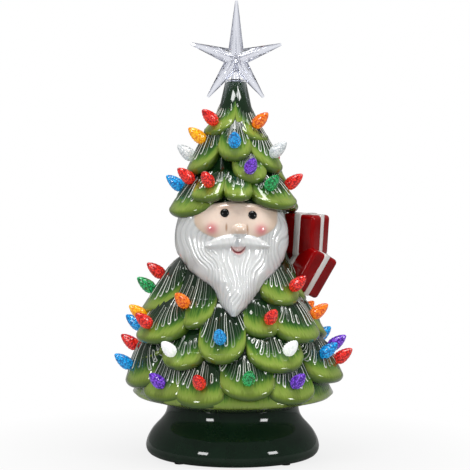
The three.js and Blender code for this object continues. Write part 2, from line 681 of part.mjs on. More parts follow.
const DOOR_LOW = PLATE_LOW + DOOR_RECESS;
const DOOR_TOP = DOOR_LOW + DOOR_THICK;
const CELL_Z = DOOR_TOP + GAP + CELL_RADIUS;
const ROW_HALF = CELL_PITCH * (CELL_COUNT - 1) / 2 + CELL_RADIUS;
const ROOM_HALF_X = ROW_HALF + CELL_SPACE;
const CELL_BACK = -CELL_LENGTH / 2;
const CELL_FRONT = CELL_LENGTH / 2;
const ROOM_LOW_Y = CELL_BACK - SPRING_LENGTH - 2 * GAP - CONTACT_PLATE;
const ROOM_HIGH_Y = CELL_FRONT + 2 * GAP + CONTACT_PLATE;
const ROOM_TOP = CELL_Z + CELL_RADIUS + CELL_SPACE;
const CASE_TOP = ROOM_TOP + CASE_WALL;
const HINGE_Z = DOOR_LOW + HINGE_RADIUS;
const HINGE_Y = ROOM_HIGH_Y + CASE_WALL + HINGE_RADIUS + RUN_GAP;
const DOORWAY_HALF_X = ROOM_HALF_X + RUN_GAP;
const DOOR_END_Y = ROOM_LOW_Y - DOOR_LAP;
const SWITCH_X = ROOM_HALF_X + CASE_WALL + SWITCH_OFFSET + SWITCH_BODY[0] / 2;

function batteryCase() {
  const below = PLATE_LOW - OVERCUT;
  const plate = rod(PLATE_RADIUS, PLATE_LOW, PLATE_TOP, BASE_SEGMENTS);
  const box = block(
    [-ROOM_HALF_X - CASE_WALL, ROOM_LOW_Y - CASE_WALL, PLATE_LOW],
    [ROOM_HALF_X + CASE_WALL, ROOM_HIGH_Y + CASE_WALL, CASE_TOP],
  );
  const room = block([-ROOM_HALF_X, ROOM_LOW_Y, below], [ROOM_HALF_X, ROOM_HIGH_Y, ROOM_TOP]);
  const hingeEnd = HINGE_Y + HINGE_RADIUS + RUN_GAP;
  const doorway = block(
    [-DOORWAY_HALF_X, DOOR_END_Y - RUN_GAP, below],
    [DOORWAY_HALF_X, hingeEnd, DOOR_TOP + RUN_GAP / 2],
  );
  const knuckleRoom = block(
    [-DOORWAY_HALF_X, HINGE_Y - HINGE_RADIUS - RUN_GAP, below],
    [DOORWAY_HALF_X, hingeEnd, PLATE_TOP + KNUCKLE_ROOM],
  );
  const ears = [-1, 1].map((side) => {
    const middle = side * (DOORWAY_HALF_X + EAR.width / 2);
    return solid(block(
      [middle - EAR.width / 2, HINGE_Y - EAR.half, PLATE_LOW],
      [middle + EAR.width / 2, HINGE_Y + EAR.half, HINGE_Z + HINGE_RADIUS + EAR.above],
    ));
  });
  const pinReach = DOORWAY_HALF_X + HINGE_PIN_LENGTH + RUN_GAP;
  const pinHoles = rod(HINGE_PIN_RADIUS + RUN_GAP / 2, -pinReach, pinReach, HINGE_SEGMENTS);
  pinHoles.rotateY(Math.PI / 2);
  pinHoles.translate(0, HINGE_Y, HINGE_Z);
  const [knobX, knobY] = SWITCH_KNOB;
  const slot = block(
    [SWITCH_X - knobX / 2 - RUN_GAP, -knobY / 2 - SWITCH_TRAVEL - RUN_GAP, below],
    [SWITCH_X + knobX / 2 + RUN_GAP, knobY / 2 + SWITCH_TRAVEL + RUN_GAP, PLATE_TOP + OVERCUT],
  );
  const wireHole = rod(COLUMN_BORE, ROOM_TOP - OVERCUT, CASE_TOP + OVERCUT);
  const cuts = [room, doorway, knuckleRoom, pinHoles, slot, wireHole].map(solid);
  return join([solid(plate), solid(box), ...ears]).subtract(join(cuts));
}

function batteryDoor() {
  const panel = block([-ROOM_HALF_X, DOOR_END_Y, DOOR_LOW], [ROOM_HALF_X, HINGE_Y, DOOR_TOP]);
  const pinReach = ROOM_HALF_X + HINGE_PIN_LENGTH;
  const knuckle = rod(HINGE_RADIUS, -ROOM_HALF_X, ROOM_HALF_X, HINGE_SEGMENTS);
  const pins = rod(HINGE_PIN_RADIUS, -pinReach, pinReach, HINGE_SEGMENTS);
  for (const part of [knuckle, pins]) {
    part.rotateY(Math.PI / 2);
    part.translate(0, HINGE_Y, HINGE_Z);
  }
  const nail = block(
    [-NAIL.half, DOOR_END_Y - OVERCUT, DOOR_LOW - OVERCUT],
    [NAIL.half, DOOR_END_Y + NAIL.length, DOOR_LOW + NAIL.depth],
  );
  return join([panel, knuckle, pins].map(solid)).subtract(solid(nail));
}

function cell() {
  const end = CELL_LENGTH - CELL_NUB;
  const geometry = turned([
    [0, 0], [CELL_RADIUS, 0], [CELL_RADIUS, end], [CELL_NUB_RADIUS, end], [CELL_NUB_RADIUS, CELL_LENGTH],
    [0, CELL_LENGTH],
  ]);
  geometry.rotateX(-Math.PI / 2);
  return geometry.translate(0, CELL_BACK, CELL_Z);
}

// Conical contact spring, wound in one wire
class Winding extends THREE.Curve {
  getPoint(share, target = new THREE.Vector3()) {
    const turn = share * SPRING_TURNS * 2 * Math.PI;
    const radius = lerp(SPRING_RADIUS, SPRING_RADIUS * SPRING_TIP, share);
    const rise = lerp(SPRING_WIRE, SPRING_LENGTH - SPRING_WIRE, share);
    return target.set(radius * Math.cos(turn), rise, radius * Math.sin(turn));
  }
}

function contactSpring() {
  const section = new THREE.Shape();
  section.absarc(0, 0, SPRING_WIRE, 0, Math.PI);
  section.absarc(0, 0, SPRING_WIRE, Math.PI, 2 * Math.PI);
  const geometry = new THREE.ExtrudeGeometry(section, {
    extrudePath: new Winding(),
    steps: SPRING_TURNS * SPRING_TURN_STEPS,
    curveSegments: 1,
    bevelEnabled: false,
  });
  return geometry.translate(0, CELL_BACK - GAP - SPRING_LENGTH, CELL_Z);
}

function contactPlate() {
  const high = ROOM_HIGH_Y - GAP / 2;
  return block(
    [-ROW_HALF, high - CONTACT_PLATE, CELL_Z - CONTACT_HALF_HEIGHT],
    [ROW_HALF, high, CELL_Z + CONTACT_HALF_HEIGHT],
  );
}

function switchBody() {
  const [width, length, height] = SWITCH_BODY;
  const [x, y] = [width / 2, length / 2];
  const low = PLATE_TOP + GAP;
  const shell = block([SWITCH_X - x, -y, low], [SWITCH_X + x, y, low + height]);
  const room = block(
    [SWITCH_X - x + SWITCH_WALL, -y + SWITCH_WALL, low - OVERCUT],
    [SWITCH_X + x - SWITCH_WALL, y - SWITCH_WALL, low + height - SWITCH_WALL],
  );
  return solid(shell).subtract(solid(room));
}

function switchSlider() {
  const [x, y] = [SWITCH_KNOB[0] / 2, SWITCH_KNOB[1] / 2];
  const low = PLATE_LOW - SWITCH_PROUD;
  const carriage = low + SWITCH_KNOB[2];
  const high = carriage + CARRIAGE_THICK;
  const knob = block([SWITCH_X - x, -y, low], [SWITCH_X + x, y, (carriage + high) / 2]);
  const slide = block(
    [SWITCH_X - x - CARRIAGE_LAP, -y - CARRIAGE_LAP, carriage],
    [SWITCH_X + x + CARRIAGE_LAP, y + CARRIAGE_LAP, high],
  );
  return solid(knob).add(solid(slide));
}

// Lamp column through the deck of the base, up into the hollow tree

const COLUMN_LOW = CASE_TOP + GAP;
const COLUMN_TOP = COLUMN_LOW + COLUMN_HEIGHT;
const BOARD_LOW = COLUMN_TOP + GAP;
const LAMP_LOW = BOARD_LOW + BOARD_THICK + GAP;

function ledColumn() {
  const footTop = COLUMN_LOW + COLUMN_FOOT;
  const rimLow = COLUMN_TOP - COLUMN_FOOT;
  return turned([
    [COLUMN_BORE, COLUMN_LOW], [COLUMN_FOOT_RADIUS, COLUMN_LOW], [COLUMN_FOOT_RADIUS, footTop],
    [COLUMN_FLARE_RADIUS, footTop + COLUMN_FLARE], [COLUMN_RADIUS, rimLow - COLUMN_HEAD],
    [BOARD_RADIUS, rimLow], [BOARD_RADIUS, COLUMN_TOP], [COLUMN_BORE, COLUMN_TOP], [COLUMN_BORE, COLUMN_LOW],
  ], COLUMN_SEGMENTS);
}

function ledLamp() {
  const straight = LAMP_LOW + LAMP_HEIGHT - LAMP_RADIUS;
  const rimTop = LAMP_LOW + LAMP_RIM_HEIGHT;
  const dome = Array.from({ length: LAMP_DOME_STEPS }, (_, i) => {
    const turn = (i / LAMP_DOME_STEPS) * (Math.PI / 2);
    return [LAMP_RADIUS * Math.cos(turn), straight + LAMP_RADIUS * Math.sin(turn)];
  });
  return turned([
    [0, LAMP_LOW], [LAMP_RADIUS + LAMP_RIM, LAMP_LOW], [LAMP_RADIUS + LAMP_RIM, rimTop],
    [LAMP_RADIUS, rimTop], ...dome, [0, LAMP_LOW + LAMP_HEIGHT],
  ]);
}

function leadWire(side) {
  const wire = rod(WIRE_RADIUS, ROOM_TOP + GAP, BOARD_LOW - GAP, WIRE_SEGMENTS);
  return wire.translate(side * (WIRE_RADIUS + GAP), 0, 0);
}

// Assembly

const glaze = (colour) => new THREE.MeshStandardMaterial({ color: colour, roughness: 0.12, metalness: 0 });
const plastic = (colour, roughness = 0.45) => new THREE.MeshStandardMaterial({ color: colour, roughness });
const metal = (colour) => new THREE.MeshStandardMaterial({ color: colour, roughness: 0.35, metalness: 1 });

const model = new THREE.Group();
const tree = new THREE.Group();
tree.position.z = TREE_Z;
model.add(tree);

function put(parent, name, shape, material) {
  const mesh = new THREE.Mesh(shape.isBufferGeometry ? shape : surface(shape), material);
  mesh.name = name;
  parent.add(mesh);
  return mesh;
}

put(tree, 'tree_shell', treeShell(), glaze(0x1d5a22));
put(tree, 'bearded_head', beardedHead(), glaze(0xf2efea));
put(tree, 'upper_gift_box', upperGift(), glaze(0x8f0508));
put(tree, 'lower_gift_box', lowerGift(), glaze(0x8f0508));
frontPlaces.forEach((place, i) => {
  const shape = merged(bulb()).applyMatrix4(place);
  put(tree, `bulb_${String(i + 1).padStart(2, '0')}`, shape, plastic(FRONT_BULBS[i][3], 0.15));
});
put(tree, 'star_collar', starCollar(), plastic(0xe9e9ea, 0.2));
put(tree, 'star_topper', star(), plastic(0xf4f6f8, 0.05));

put(model, 'base_shell', baseShell(), glaze(0x12331a));
put(model, 'battery_case', batteryCase(), plastic(0x16181a));
put(model, 'battery_door', batteryDoor(), plastic(0x1a1c1e));
for (let i = 0; i < CELL_COUNT; i += 1) {
  const x = (i - (CELL_COUNT - 1) / 2) * CELL_PITCH;
  put(model, `battery_${i + 1}`, cell(), plastic(0x2a2c30, 0.35)).position.x = x;
  put(model, `contact_spring_${i + 1}`, contactSpring(), metal(0xc8ccd0)).position.x = x;
}
put(model, 'contact_plate', contactPlate(), metal(0xc8ccd0));
put(model, 'switch_body', switchBody(), plastic(0x202224));
put(model, 'switch_slider', switchSlider(), plastic(0xe8e8e8));
put(model, 'led_column', ledColumn(), plastic(0xf0f0ee));
const board = rod(BOARD_RADIUS, BOARD_LOW, BOARD_LOW + BOARD_THICK, COLUMN_SEGMENTS);
put(model, 'circuit_board', board, plastic(0x1d6a3c));
put(model, 'led_lamp', ledLamp(), plastic(0xfff2d0, 0.2));
put(model, 'lead_wire_red', leadWire(-1), plastic(0xb01818));
put(model, 'lead_wire_black', leadWire(1), plastic(0x151515));
for (let i = 0; i < FOOT_COUNT; i += 1) {
  const turn = (i + 0.5) * 2 * Math.PI / FOOT_COUNT;
  const reach = (REBATE_RADIUS + BASE_FOOT_RADIUS) / 2;
  const foot = put(model, `rubber_foot_${i + 1}`, rod(FOOT_RADIUS, 0, FOOT_HEIGHT), plastic(0x202020, 0.9));
  foot.position.set(reach * Math.cos(turn), reach * Math.sin(turn), 0);
}

export default model;
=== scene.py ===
"""Battery-lit ceramic tabletop tree: glazed branch tiers, a bearded head, gift boxes, bulbs and a star."""

import json
import math

import bmesh
import bpy
from mathutils import Matrix, Vector, noise
from mathutils.bvhtree import BVHTree

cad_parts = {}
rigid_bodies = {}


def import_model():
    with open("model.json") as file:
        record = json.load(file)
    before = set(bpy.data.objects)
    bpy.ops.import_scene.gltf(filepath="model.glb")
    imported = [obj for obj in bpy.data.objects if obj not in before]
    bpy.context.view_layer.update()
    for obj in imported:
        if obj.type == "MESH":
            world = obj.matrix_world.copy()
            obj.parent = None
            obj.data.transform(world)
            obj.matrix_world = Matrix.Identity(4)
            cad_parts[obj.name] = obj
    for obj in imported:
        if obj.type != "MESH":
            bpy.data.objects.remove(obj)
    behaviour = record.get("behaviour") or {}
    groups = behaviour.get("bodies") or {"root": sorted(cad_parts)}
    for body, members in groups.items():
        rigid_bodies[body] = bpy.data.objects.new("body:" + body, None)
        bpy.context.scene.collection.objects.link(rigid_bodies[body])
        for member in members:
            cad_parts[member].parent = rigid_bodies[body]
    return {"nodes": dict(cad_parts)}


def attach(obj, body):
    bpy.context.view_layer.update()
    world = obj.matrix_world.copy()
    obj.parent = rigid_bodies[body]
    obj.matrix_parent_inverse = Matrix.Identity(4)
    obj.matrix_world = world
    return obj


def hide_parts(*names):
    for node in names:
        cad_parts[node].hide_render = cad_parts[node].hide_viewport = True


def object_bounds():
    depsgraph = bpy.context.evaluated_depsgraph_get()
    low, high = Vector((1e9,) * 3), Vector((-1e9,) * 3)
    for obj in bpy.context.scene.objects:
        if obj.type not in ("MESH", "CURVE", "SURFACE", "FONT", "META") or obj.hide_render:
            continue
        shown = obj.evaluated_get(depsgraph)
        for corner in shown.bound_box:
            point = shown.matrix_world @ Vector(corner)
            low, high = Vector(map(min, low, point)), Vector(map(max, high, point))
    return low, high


bl_info = {
    "name": "Ceramic tabletop tree",
    "version": (1, 0, 0),
    "blender": (4, 5, 0),
    "location": "3D View > Sidebar > Ceramic tree",
    "description": "Builds the glazed tree, its head, bulbs, star and base on the packed frame",
    "category": "Object",
}

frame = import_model()
CAD_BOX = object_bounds()

MM = 0.001
TREE_Z = 45.3
RIM = 5
RIM_TURN = math.radians(112)
ROOT_DEPTH = 3
TREE_WALL = 5
TREE_MOUTH_RADIUS = 51
TREE_FLANGE = 5
STEM_HOLE_RADIUS = 6.4
TREE_HEIGHT = 267.7
HAT_SOLID = 26
ON_BASE = Matrix.Translation((0, 0, TREE_Z))
# Place on the branch map of the unglazed inside
INSIDE = 9
GLAZE_COAT = 0.8
# Ripples of a dipped glaze in a metre, about 14 mm from crest to crest
RIPPLES = 70.0

# Trunk of the cone: height above the tree's underside, radius
TRUNK = [
    (0, 60), (3.5, 70), (6.2, 81), (9, 84), (14.7, 81), (49.7, 69), (84.7, 57), (124.7, 45), (144.7, 42),
    (159.7, 44), (169.7, 42), (194.7, 31), (236.7, 15.5), (267.7, 8.7),
]

# Branches: turn from the front, half width, root height, lip height, lip radius, rise of the ends, swell
BRANCHES = {
    "cap_left": (-62, 63, 266.7, 221.2, 27, 16, 2),
    "cap_right": (62, 63, 266.7, 215.2, 29, 22, 2),
    "cap_back": (180, 63, 266.7, 218.7, 28, 18, 2),
    "peak_front": (-1, 32, 239.7, 201.7, 37, 15, 0.85),
    "peak_left": (-72, 44, 239.7, 189.7, 41, 21, 0.85),
    "peak_right": (66, 42, 239.7, 191.7, 41, 22, 0.85),
    "peak_back_right": (140, 36, 239.7, 193.7, 40, 18, 0.85),
    "peak_back_left": (-146, 36, 239.7, 194.7, 40, 18, 0.85),
    "crown_front": (22, 27, 216.7, 183.7, 44, 14, 0.85),
    "shoulder_left": (-82, 30, 122.7, 73.7, 77, 14, 0.85),
    "shoulder_front_left": (-34, 20, 119.7, 66.2, 69, 16, 0.85),
    "shoulder_front_right": (46, 23, 122.7, 84.2, 64, 12, 0.85),
    "shoulder_right": (96, 26, 119.7, 82.7, 61, 12, 0.85),
    "middle_left": (-60, 25, 94.7, 53.2, 87, 12, 0.6),
    "middle_side_left": (-104, 20, 92.7, 48.7, 82, 12, 0.7),
    "middle_front_left": (-8, 17, 89.7, 40.7, 82, 20, 0.85),
    "middle_front_right": (22, 17, 92.7, 60.7, 70, 12, 0.85),
    "middle_right": (54, 24, 92.7, 54.7, 80, 12, 0.7),
    "lower_front_left": (-35, 17, 66.7, 34.2, 83, 12, 0.85),
    "lower_front_right": (30, 21.6, 66.7, 33.2, 84, 16, 0.85),
    "skirt_left": (-78, 24, 62.7, 14.2, 91, 8, 0.45),
    "skirt_front_left": (-48, 17, 49.7, 7.2, 86, 6, 0.85),
    "skirt_front": (-20, 15, 49.7, 6.2, 86, 6, 0.85),
    "skirt_front_middle": (9, 17, 49.7, 12.7, 88, 12, 0.85),
    "skirt_front_right": (38, 17, 49.7, 7.7, 88, 8, 0.85),
    "skirt_right": (76, 25, 62.7, 20.2, 93, 8, 0.6),
}
BRIM = {
    "brim_left": (-58, 36, 196.7, 155.7, 58, 12, 0.85),
    "brim_front_left": (-31, 20, 196.7, 168.7, 55, 8, 0.85),
    "brim_front": (4, 17, 196.7, 170.2, 54, 7, 0.85),
    "brim_right": (52, 34, 196.7, 162.7, 57, 12, 0.85),
}
# Rows round the back: first and last turn, count, then the sizes as above
BACK_ROWS = {
    "crown_back": (110, 250, 3, 30, 216.7, 177.7, 46, 14, 0.85),
    "brim_back": (116, 236, 3, 31, 196.7, 157.7, 56, 11, 0.85),
    "nape": (128, 232, 3, 27, 159.7, 117.7, 55, 12, 0.85),
    "shoulder_back": (138, 234, 3, 26, 122.7, 76.7, 71, 13, 0.85),
    "middle_back": (104, 211, 3, 28, 92.7, 51.7, 80, 12, 0.85),
    "lower_back": (78, 282, 5, 25, 66.7, 33.7, 84, 12, 0.85),
    "skirt_back": (121, 242, 4, 21, 49.7, 8.7, 88, 8, 0.85),
}
# First number of the brim's and the back's branches on the branch map, and their mesh against the front's
BRIM_FIRST = 40
BACK_FIRST = 60
BACK_MESH = (1.35, 1.25)
# Needles: width of the fan at the root, and shares of the branch and millimetres where they start and end
NEEDLE_FAN = 0.52
NEEDLE_START = (0.6, 0.38)
NEEDLE_END = (6.5, 7.5)
NEEDLE_RUN_IN = 3.5
NEEDLE_RUN_OUT = 4.0
GLAZE_WAVE = 0.6
# Heights at which the shell is cut into pieces, above the tree's underside
SECTIONS = {"skirt": (-5, 50), "lower": (50, 92), "middle": (92, 172), "hat": (172, 275)}

# Head: share of its length from the top, left edge, right edge, depth of the front
HEAD_TOP = 171
HEAD_LENGTH = 92.5
HEAD_BACK = -18
HEAD_BACK_DEPTH = 12
HEAD_FULLNESS = 0.85
HEAD_OUTLINE = [
    (0, -6, 4, 40), (0.03, -30, 27, 46), (0.1, -43, 39, 49), (0.2, -47.5, 43, 51.5), (0.34, -49.5, 45, 53),
    (0.48, -47.5, 43, 56.5), (0.573, -41.5, 39.5, 59.2), (0.638, -37.5, 36.5, 61), (0.692, -32.5, 33, 62.8),
    (0.735, -27.5, 29.5, 64), (0.789, -22.5, 25.5, 65.7), (0.843, -19, 21.5, 67), (0.897, -16, 17.5, 68),
    (0.946, -12, 13, 68.5), (1, -5.5, 6, 67),
]
NOSE = {"x": 4.2, "z": 147.4, "width": 13, "height": 11, "depth": 4.8}
MOUSTACHE = {"x": 2.3, "z": 139, "half": 26, "drop": 5, "thick": 6, "depth": 2.6}
MOUTH = {"x": 3.3, "z": 130, "half": 5.6, "lift": 3.8, "line": 1.8, "depth": 1.6}
CHEEKS = [(-18, 148.2), (21, 147.4)]
# Painted shade in the creases beside the nose: where each lies
NOSE_SHADOWS = [(-6.5, 149.8), (10.3, 148.8)]
# Bare skin: middle, half width, height of its widest place and how far it reaches below that
SKIN = {"x": 1, "half": 34, "z": 155, "drop": 15.5}
EYES = [(-8, 161.3), (14.6, 159.7)]
EYE_RADIUS = 3.6
CHEEK = {"height": 2.6, "reach": 7.5, "blush": 4.6}
EYE_SOCKET = {"depth": 0.5, "reach": 6}

# Gift boxes: size, middle, turn and lean in degrees
BOXES = {
    "upper_gift_box": ((31, 30, 34), (59.5, 12, 140.5), -30, 3),
    "lower_gift_box": ((38, 30, 37), (58.5, 10, 113), -50, 29),
}
RIBBON_WIDTH = 5.5
RIBBON_PROUD = 0.5
BOX_EDGE = 3.4
BOX_GAP = 0.3

# Bulbs: branch, place across it, place along it, colour
BULB_LENGTH = 17
BULB_RADIUS = 5.2
BULB_RISE = math.radians(38)
BULB_GAP = 0.3
BULB_SIDES = 20
BACK_ALONG = 0.72
BACK_ACROSS = 0.72
SIDE_LIMIT = -0.3
BULB_SIDE = [
    (-0.12, 0.55), (0, 0.62), (0.07, 0.84), (0.15, 0.95), (0.24, 1), (0.33, 1), (0.42, 0.96), (0.51, 0.9),
    (0.6, 0.82), (0.69, 0.72), (0.78, 0.59), (0.86, 0.44), (0.93, 0.28), (0.98, 0.13),
]
FRONT_BULBS = [
    ("cap_left", 0.15, 0.82, "red"), ("cap_right", -0.15, 0.76, "orange"), ("peak_left", 0.1, 0.47, "amber"),
    ("peak_front", 0, 0.72, "blue"), ("peak_left", -0.6, 0.88, "clear"), ("peak_right", -0.15, 0.75, "clear"),
    ("crown_front", -0.2, 0.78, "purple"), ("brim_left", -0.1, 0.31, "red"),
    ("brim_left", -0.7, 0.55, "blue"),
    ("brim_front_left", 0.24, 0.57, "red"), ("brim_right", -0.44, 0.55, "green"),
    ("brim_right", 0.73, 0.62, "red"), ("shoulder_left", -0.24, 0.4, "red"),
    ("shoulder_left", -0.1, 0.66, "green"), ("middle_left", -0.6, 0.66, "amber"),
    ("middle_left", 0.1, 0.72, "red"), ("shoulder_front_left", -0.2, 0.7, "orange"),
    ("middle_side_left", 0.3, 0.85, "blue"), ("skirt_left", -0.5, 0.42, "red"),
    ("skirt_left", 0.05, 0.72, "blue"),
    ("lower_front_left", -0.24, 0.7, "white"), ("middle_front_left", 0, 0.68, "blue"),
    ("middle_front_right", 0.2, 0.68, "red"), ("middle_right", 0.7, 0.6, "orange"),
    ("shoulder_front_right", 0.34, 0.72, "red"), ("lower_front_right", 0.2, 0.6, "white"),
    ("skirt_right", 0.42, 0.44, "purple"), ("skirt_right", -0.5, 0.5, "blue"),
    ("skirt_right", 0.1, 0.68, "red"),
    ("skirt_front_left", 0.2, 0.75, "purple"), ("skirt_front", 0.1, 0.68, "red"),
    ("skirt_front_middle", -0.05, 0.68, "green"), ("skirt_front_right", -0.1, 0.7, "purple"),
]
BULB_COLOURS = ["red", "orange", "amber", "blue", "green", "purple", "clear"]
LIT_CLEAR = "white"

# Side of the base: height, radius
BASE_SIDE = [
    (9, 72.8), (12, 72.3), (15.4, 71.2), (21.3, 68), (25.5, 64.6), (29.7, 60.6), (33, 58), (36, 56.4),
    (40, 55.3), (44, 54.9),
]

# Star: height of its hub, its rays, and how its edges are rounded
STAR_Z = 332
STAR_TOP_RAY = 48
STAR_SIDE_RAY = 39.5
STAR_INNER = 10.5
STAR_DEPTH = 7
STAR_TIP = 1.1
STAR_EDGE = 1.1
STAR_EDGE_RUN = 0.6
FLUTE_PITCH = 1.7
FLUTE_DEPTH = 0.08

# Camera, matched to the photograph: place in metres, lens in millimetres, angles in degrees
CAMERA = {"place": (0.0005, -1.6, 0.3), "lens": 147.05, "pitch": 4.1016, "roll": 0.5}
# Soft boxes: azimuth and elevation in degrees, width and height as shares of their distance, radiance
SOFT_BOXES = [
    ("soft_box_high_left", -44, 72, 0.3, 0.3, 14), ("soft_box_high_right", 58, 72, 0.3, 0.3, 14),
    ("soft_box_low_left", -40, 16, 0.22, 0.18, 20), ("soft_box_low_right", 56, 16, 0.22, 0.18, 20),
]
WORLD_LIGHT = 0.24


# Sums used by several pieces

def lerp(a, b, share):
    return a + (b - a) * share


def clamp(value, low=0.0, high=1.0):
    return min(high, max(low, value))


def smooth(value):
    share = clamp(value)
    return share * share * (3 - 2 * share)


def scatter(number, seed=0.0):
    """A fixed number from 0 to 1 for each needle, strand or branch."""
    return (math.sin(number * 12.9898 + seed * 78.233) * 43758.5453) % 1.0


def read_table(table, place, column=1):
    if place <= table[0][0]:
        return table[0][column]
    for before, after in zip(table, table[1:]):
        if place <= after[0]:
            return lerp(before[column], after[column], (place - before[0]) / (after[0] - before[0]))
    return table[-1][column]


def read_smooth(table, place, column=1):
    """Reads a table along a smooth curve through its rows."""
    places = [row[0] for row in table]
    values = [row[column] for row in table]
    place = clamp(place, places[0], places[-1])
    i = max(k for k in range(len(places) - 1) if places[k] <= place)
    span = places[i + 1] - places[i]
    share = (place - places[i]) / span

    def slope(k):
        low, high = max(k - 1, 0), min(k + 1, len(places) - 1)
        return (values[high] - values[low]) / (places[high] - places[low])

    a, b = slope(i) * span, slope(i + 1) * span
    s2, s3 = share * share, share ** 3
    return (
        values[i] * (2 * s3 - 3 * s2 + 1) + a * (s3 - 2 * s2 + share)
        + values[i + 1] * (3 * s2 - 2 * s3) + b * (s3 - s2)
    )


def linear(code):
    """A colour written as sRGB hex, turned linear."""
    channels = [int(code[i:i + 2], 16) / 255 for i in (1, 3, 5)]
    return tuple(c / 12.92 if c <= 0.04045 else ((c + 0.055) / 1.055) ** 2.4 for c in channels) + (1.0,)


def mix_colour(a, b, share):
    """Mixes two linear colours; the second may be a hex code."""
    return tuple(lerp(x, y, share) for x, y in zip(a, linear(b) if isinstance(b, str) else b))


def bell(value, power=2):
    """1 at zero, falling to nothing on both sides."""
    return math.exp(-abs(value) ** power)


# Meshes and objects

def to_object(bm, name, materials=(), smooth_angle=None):
    mesh = bpy.data.meshes.new(name)
    bm.to_mesh(mesh)
    bm.free()
    return mesh_object(mesh, name, materials, smooth_angle)


def mesh_object(mesh, name, materials=(), smooth_angle=None):
    obj = bpy.data.objects.new(name, mesh)
    bpy.context.scene.collection.objects.link(obj)
    while len(mesh.materials) > len(materials):
        mesh.materials.pop()
    for slot, material in enumerate(materials):
        if slot < len(mesh.materials):
            mesh.materials[slot] = material
        else:
            mesh.materials.append(material)
    if smooth_angle is not None:
        mesh.shade_smooth()
        mesh.set_sharp_from_angle(angle=math.radians(smooth_angle))
    return obj


def place_mm(bm, matrix=Matrix()):
    """Moves a mesh made in millimetres to its place, in metres."""
    bmesh.ops.transform(bm, matrix=Matrix.Scale(MM, 4) @ matrix, verts=bm.verts)


def spun(bm, profile, steps, closed=False):
    """Turns a profile of (radius, height) points round the Z axis."""
    verts = [bm.verts.new((radius, 0, height)) for radius, height in profile]
    pairs = list(zip(verts, verts[1:])) + ([(verts[-1], verts[0])] if closed else [])
    edges = [bm.edges.new(pair) for pair in pairs]
    bmesh.ops.spin(
        bm, geom=verts + edges, cent=(0, 0, 0), axis=(0, 0, 1), angle=math.tau, steps=steps, use_merge=True,
    )
    bmesh.ops.remove_doubles(bm, verts=bm.verts, dist=1e-4)
    bmesh.ops.recalc_face_normals(bm, faces=bm.faces)


def evaluated(obj):
    """The mesh of an object with its modifiers applied."""
    depsgraph = bpy.context.evaluated_depsgraph_get()
    return bpy.data.meshes.new_from_object(obj.evaluated_get(depsgraph), depsgraph=depsgraph)


def cut(obj, name, operation, tools):
    """Adds a Boolean with a collection of closed tools."""
    group = bpy.data.collections.new(name)
    bpy.context.scene.collection.children.link(group)
    for tool in tools:
        bpy.context.scene.collection.objects.unlink(tool)
        group.objects.link(tool)
    modifier = obj.modifiers.new(name, "BOOLEAN")
    modifier.solver = "MANIFOLD"
    modifier.operation = operation
    modifier.operand_type = "COLLECTION"
    modifier.collection = group


def discard(objects):
    for obj in objects:
        mesh = obj.data
        bpy.data.objects.remove(obj)
        if mesh.users == 0:
            bpy.data.meshes.remove(mesh)
    for group in list(bpy.data.collections):
        if not group.objects and not group.children:
            bpy.data.collections.remove(group)


# Materials

def link_up(tree, node, links):
    """Links a node's inputs to outputs, or to the first outputs of other nodes."""
    for name, source in links.items():
        output = source.outputs[0] if isinstance(source, bpy.types.Node) else source
        tree.links.new(output, node.inputs[name])


def add(tree, kind, settings=None, links=None):
    """Adds a node with its settings and its links; stops are the places and hex colours of a ramp."""
    node = tree.nodes.new(kind)
    for name, value in (settings or {}).items():
        if name == "stops":
            line = node.color_ramp.elements
            line[0].position, line[0].color = value[0][0], linear(value[0][1])
            line[1].position, line[1].color = value[-1][0], linear(value[-1][1])
            for place, code in value[1:-1]:
                line.new(place).color = linear(code)
        elif isinstance(name, int) or name in node.inputs:
            node.inputs[name].default_value = value
        else:
            setattr(node, name, value)
    link_up(tree, node, links or {})
    return node


def new_material(name, settings):
    material = bpy.data.materials.new(name)
    material.use_nodes = True
    tree = material.node_tree
    shader = tree.nodes["Principled BSDF"]
    for socket, value in settings.items():
        shader.inputs[socket].default_value = value
    return material, tree, shader


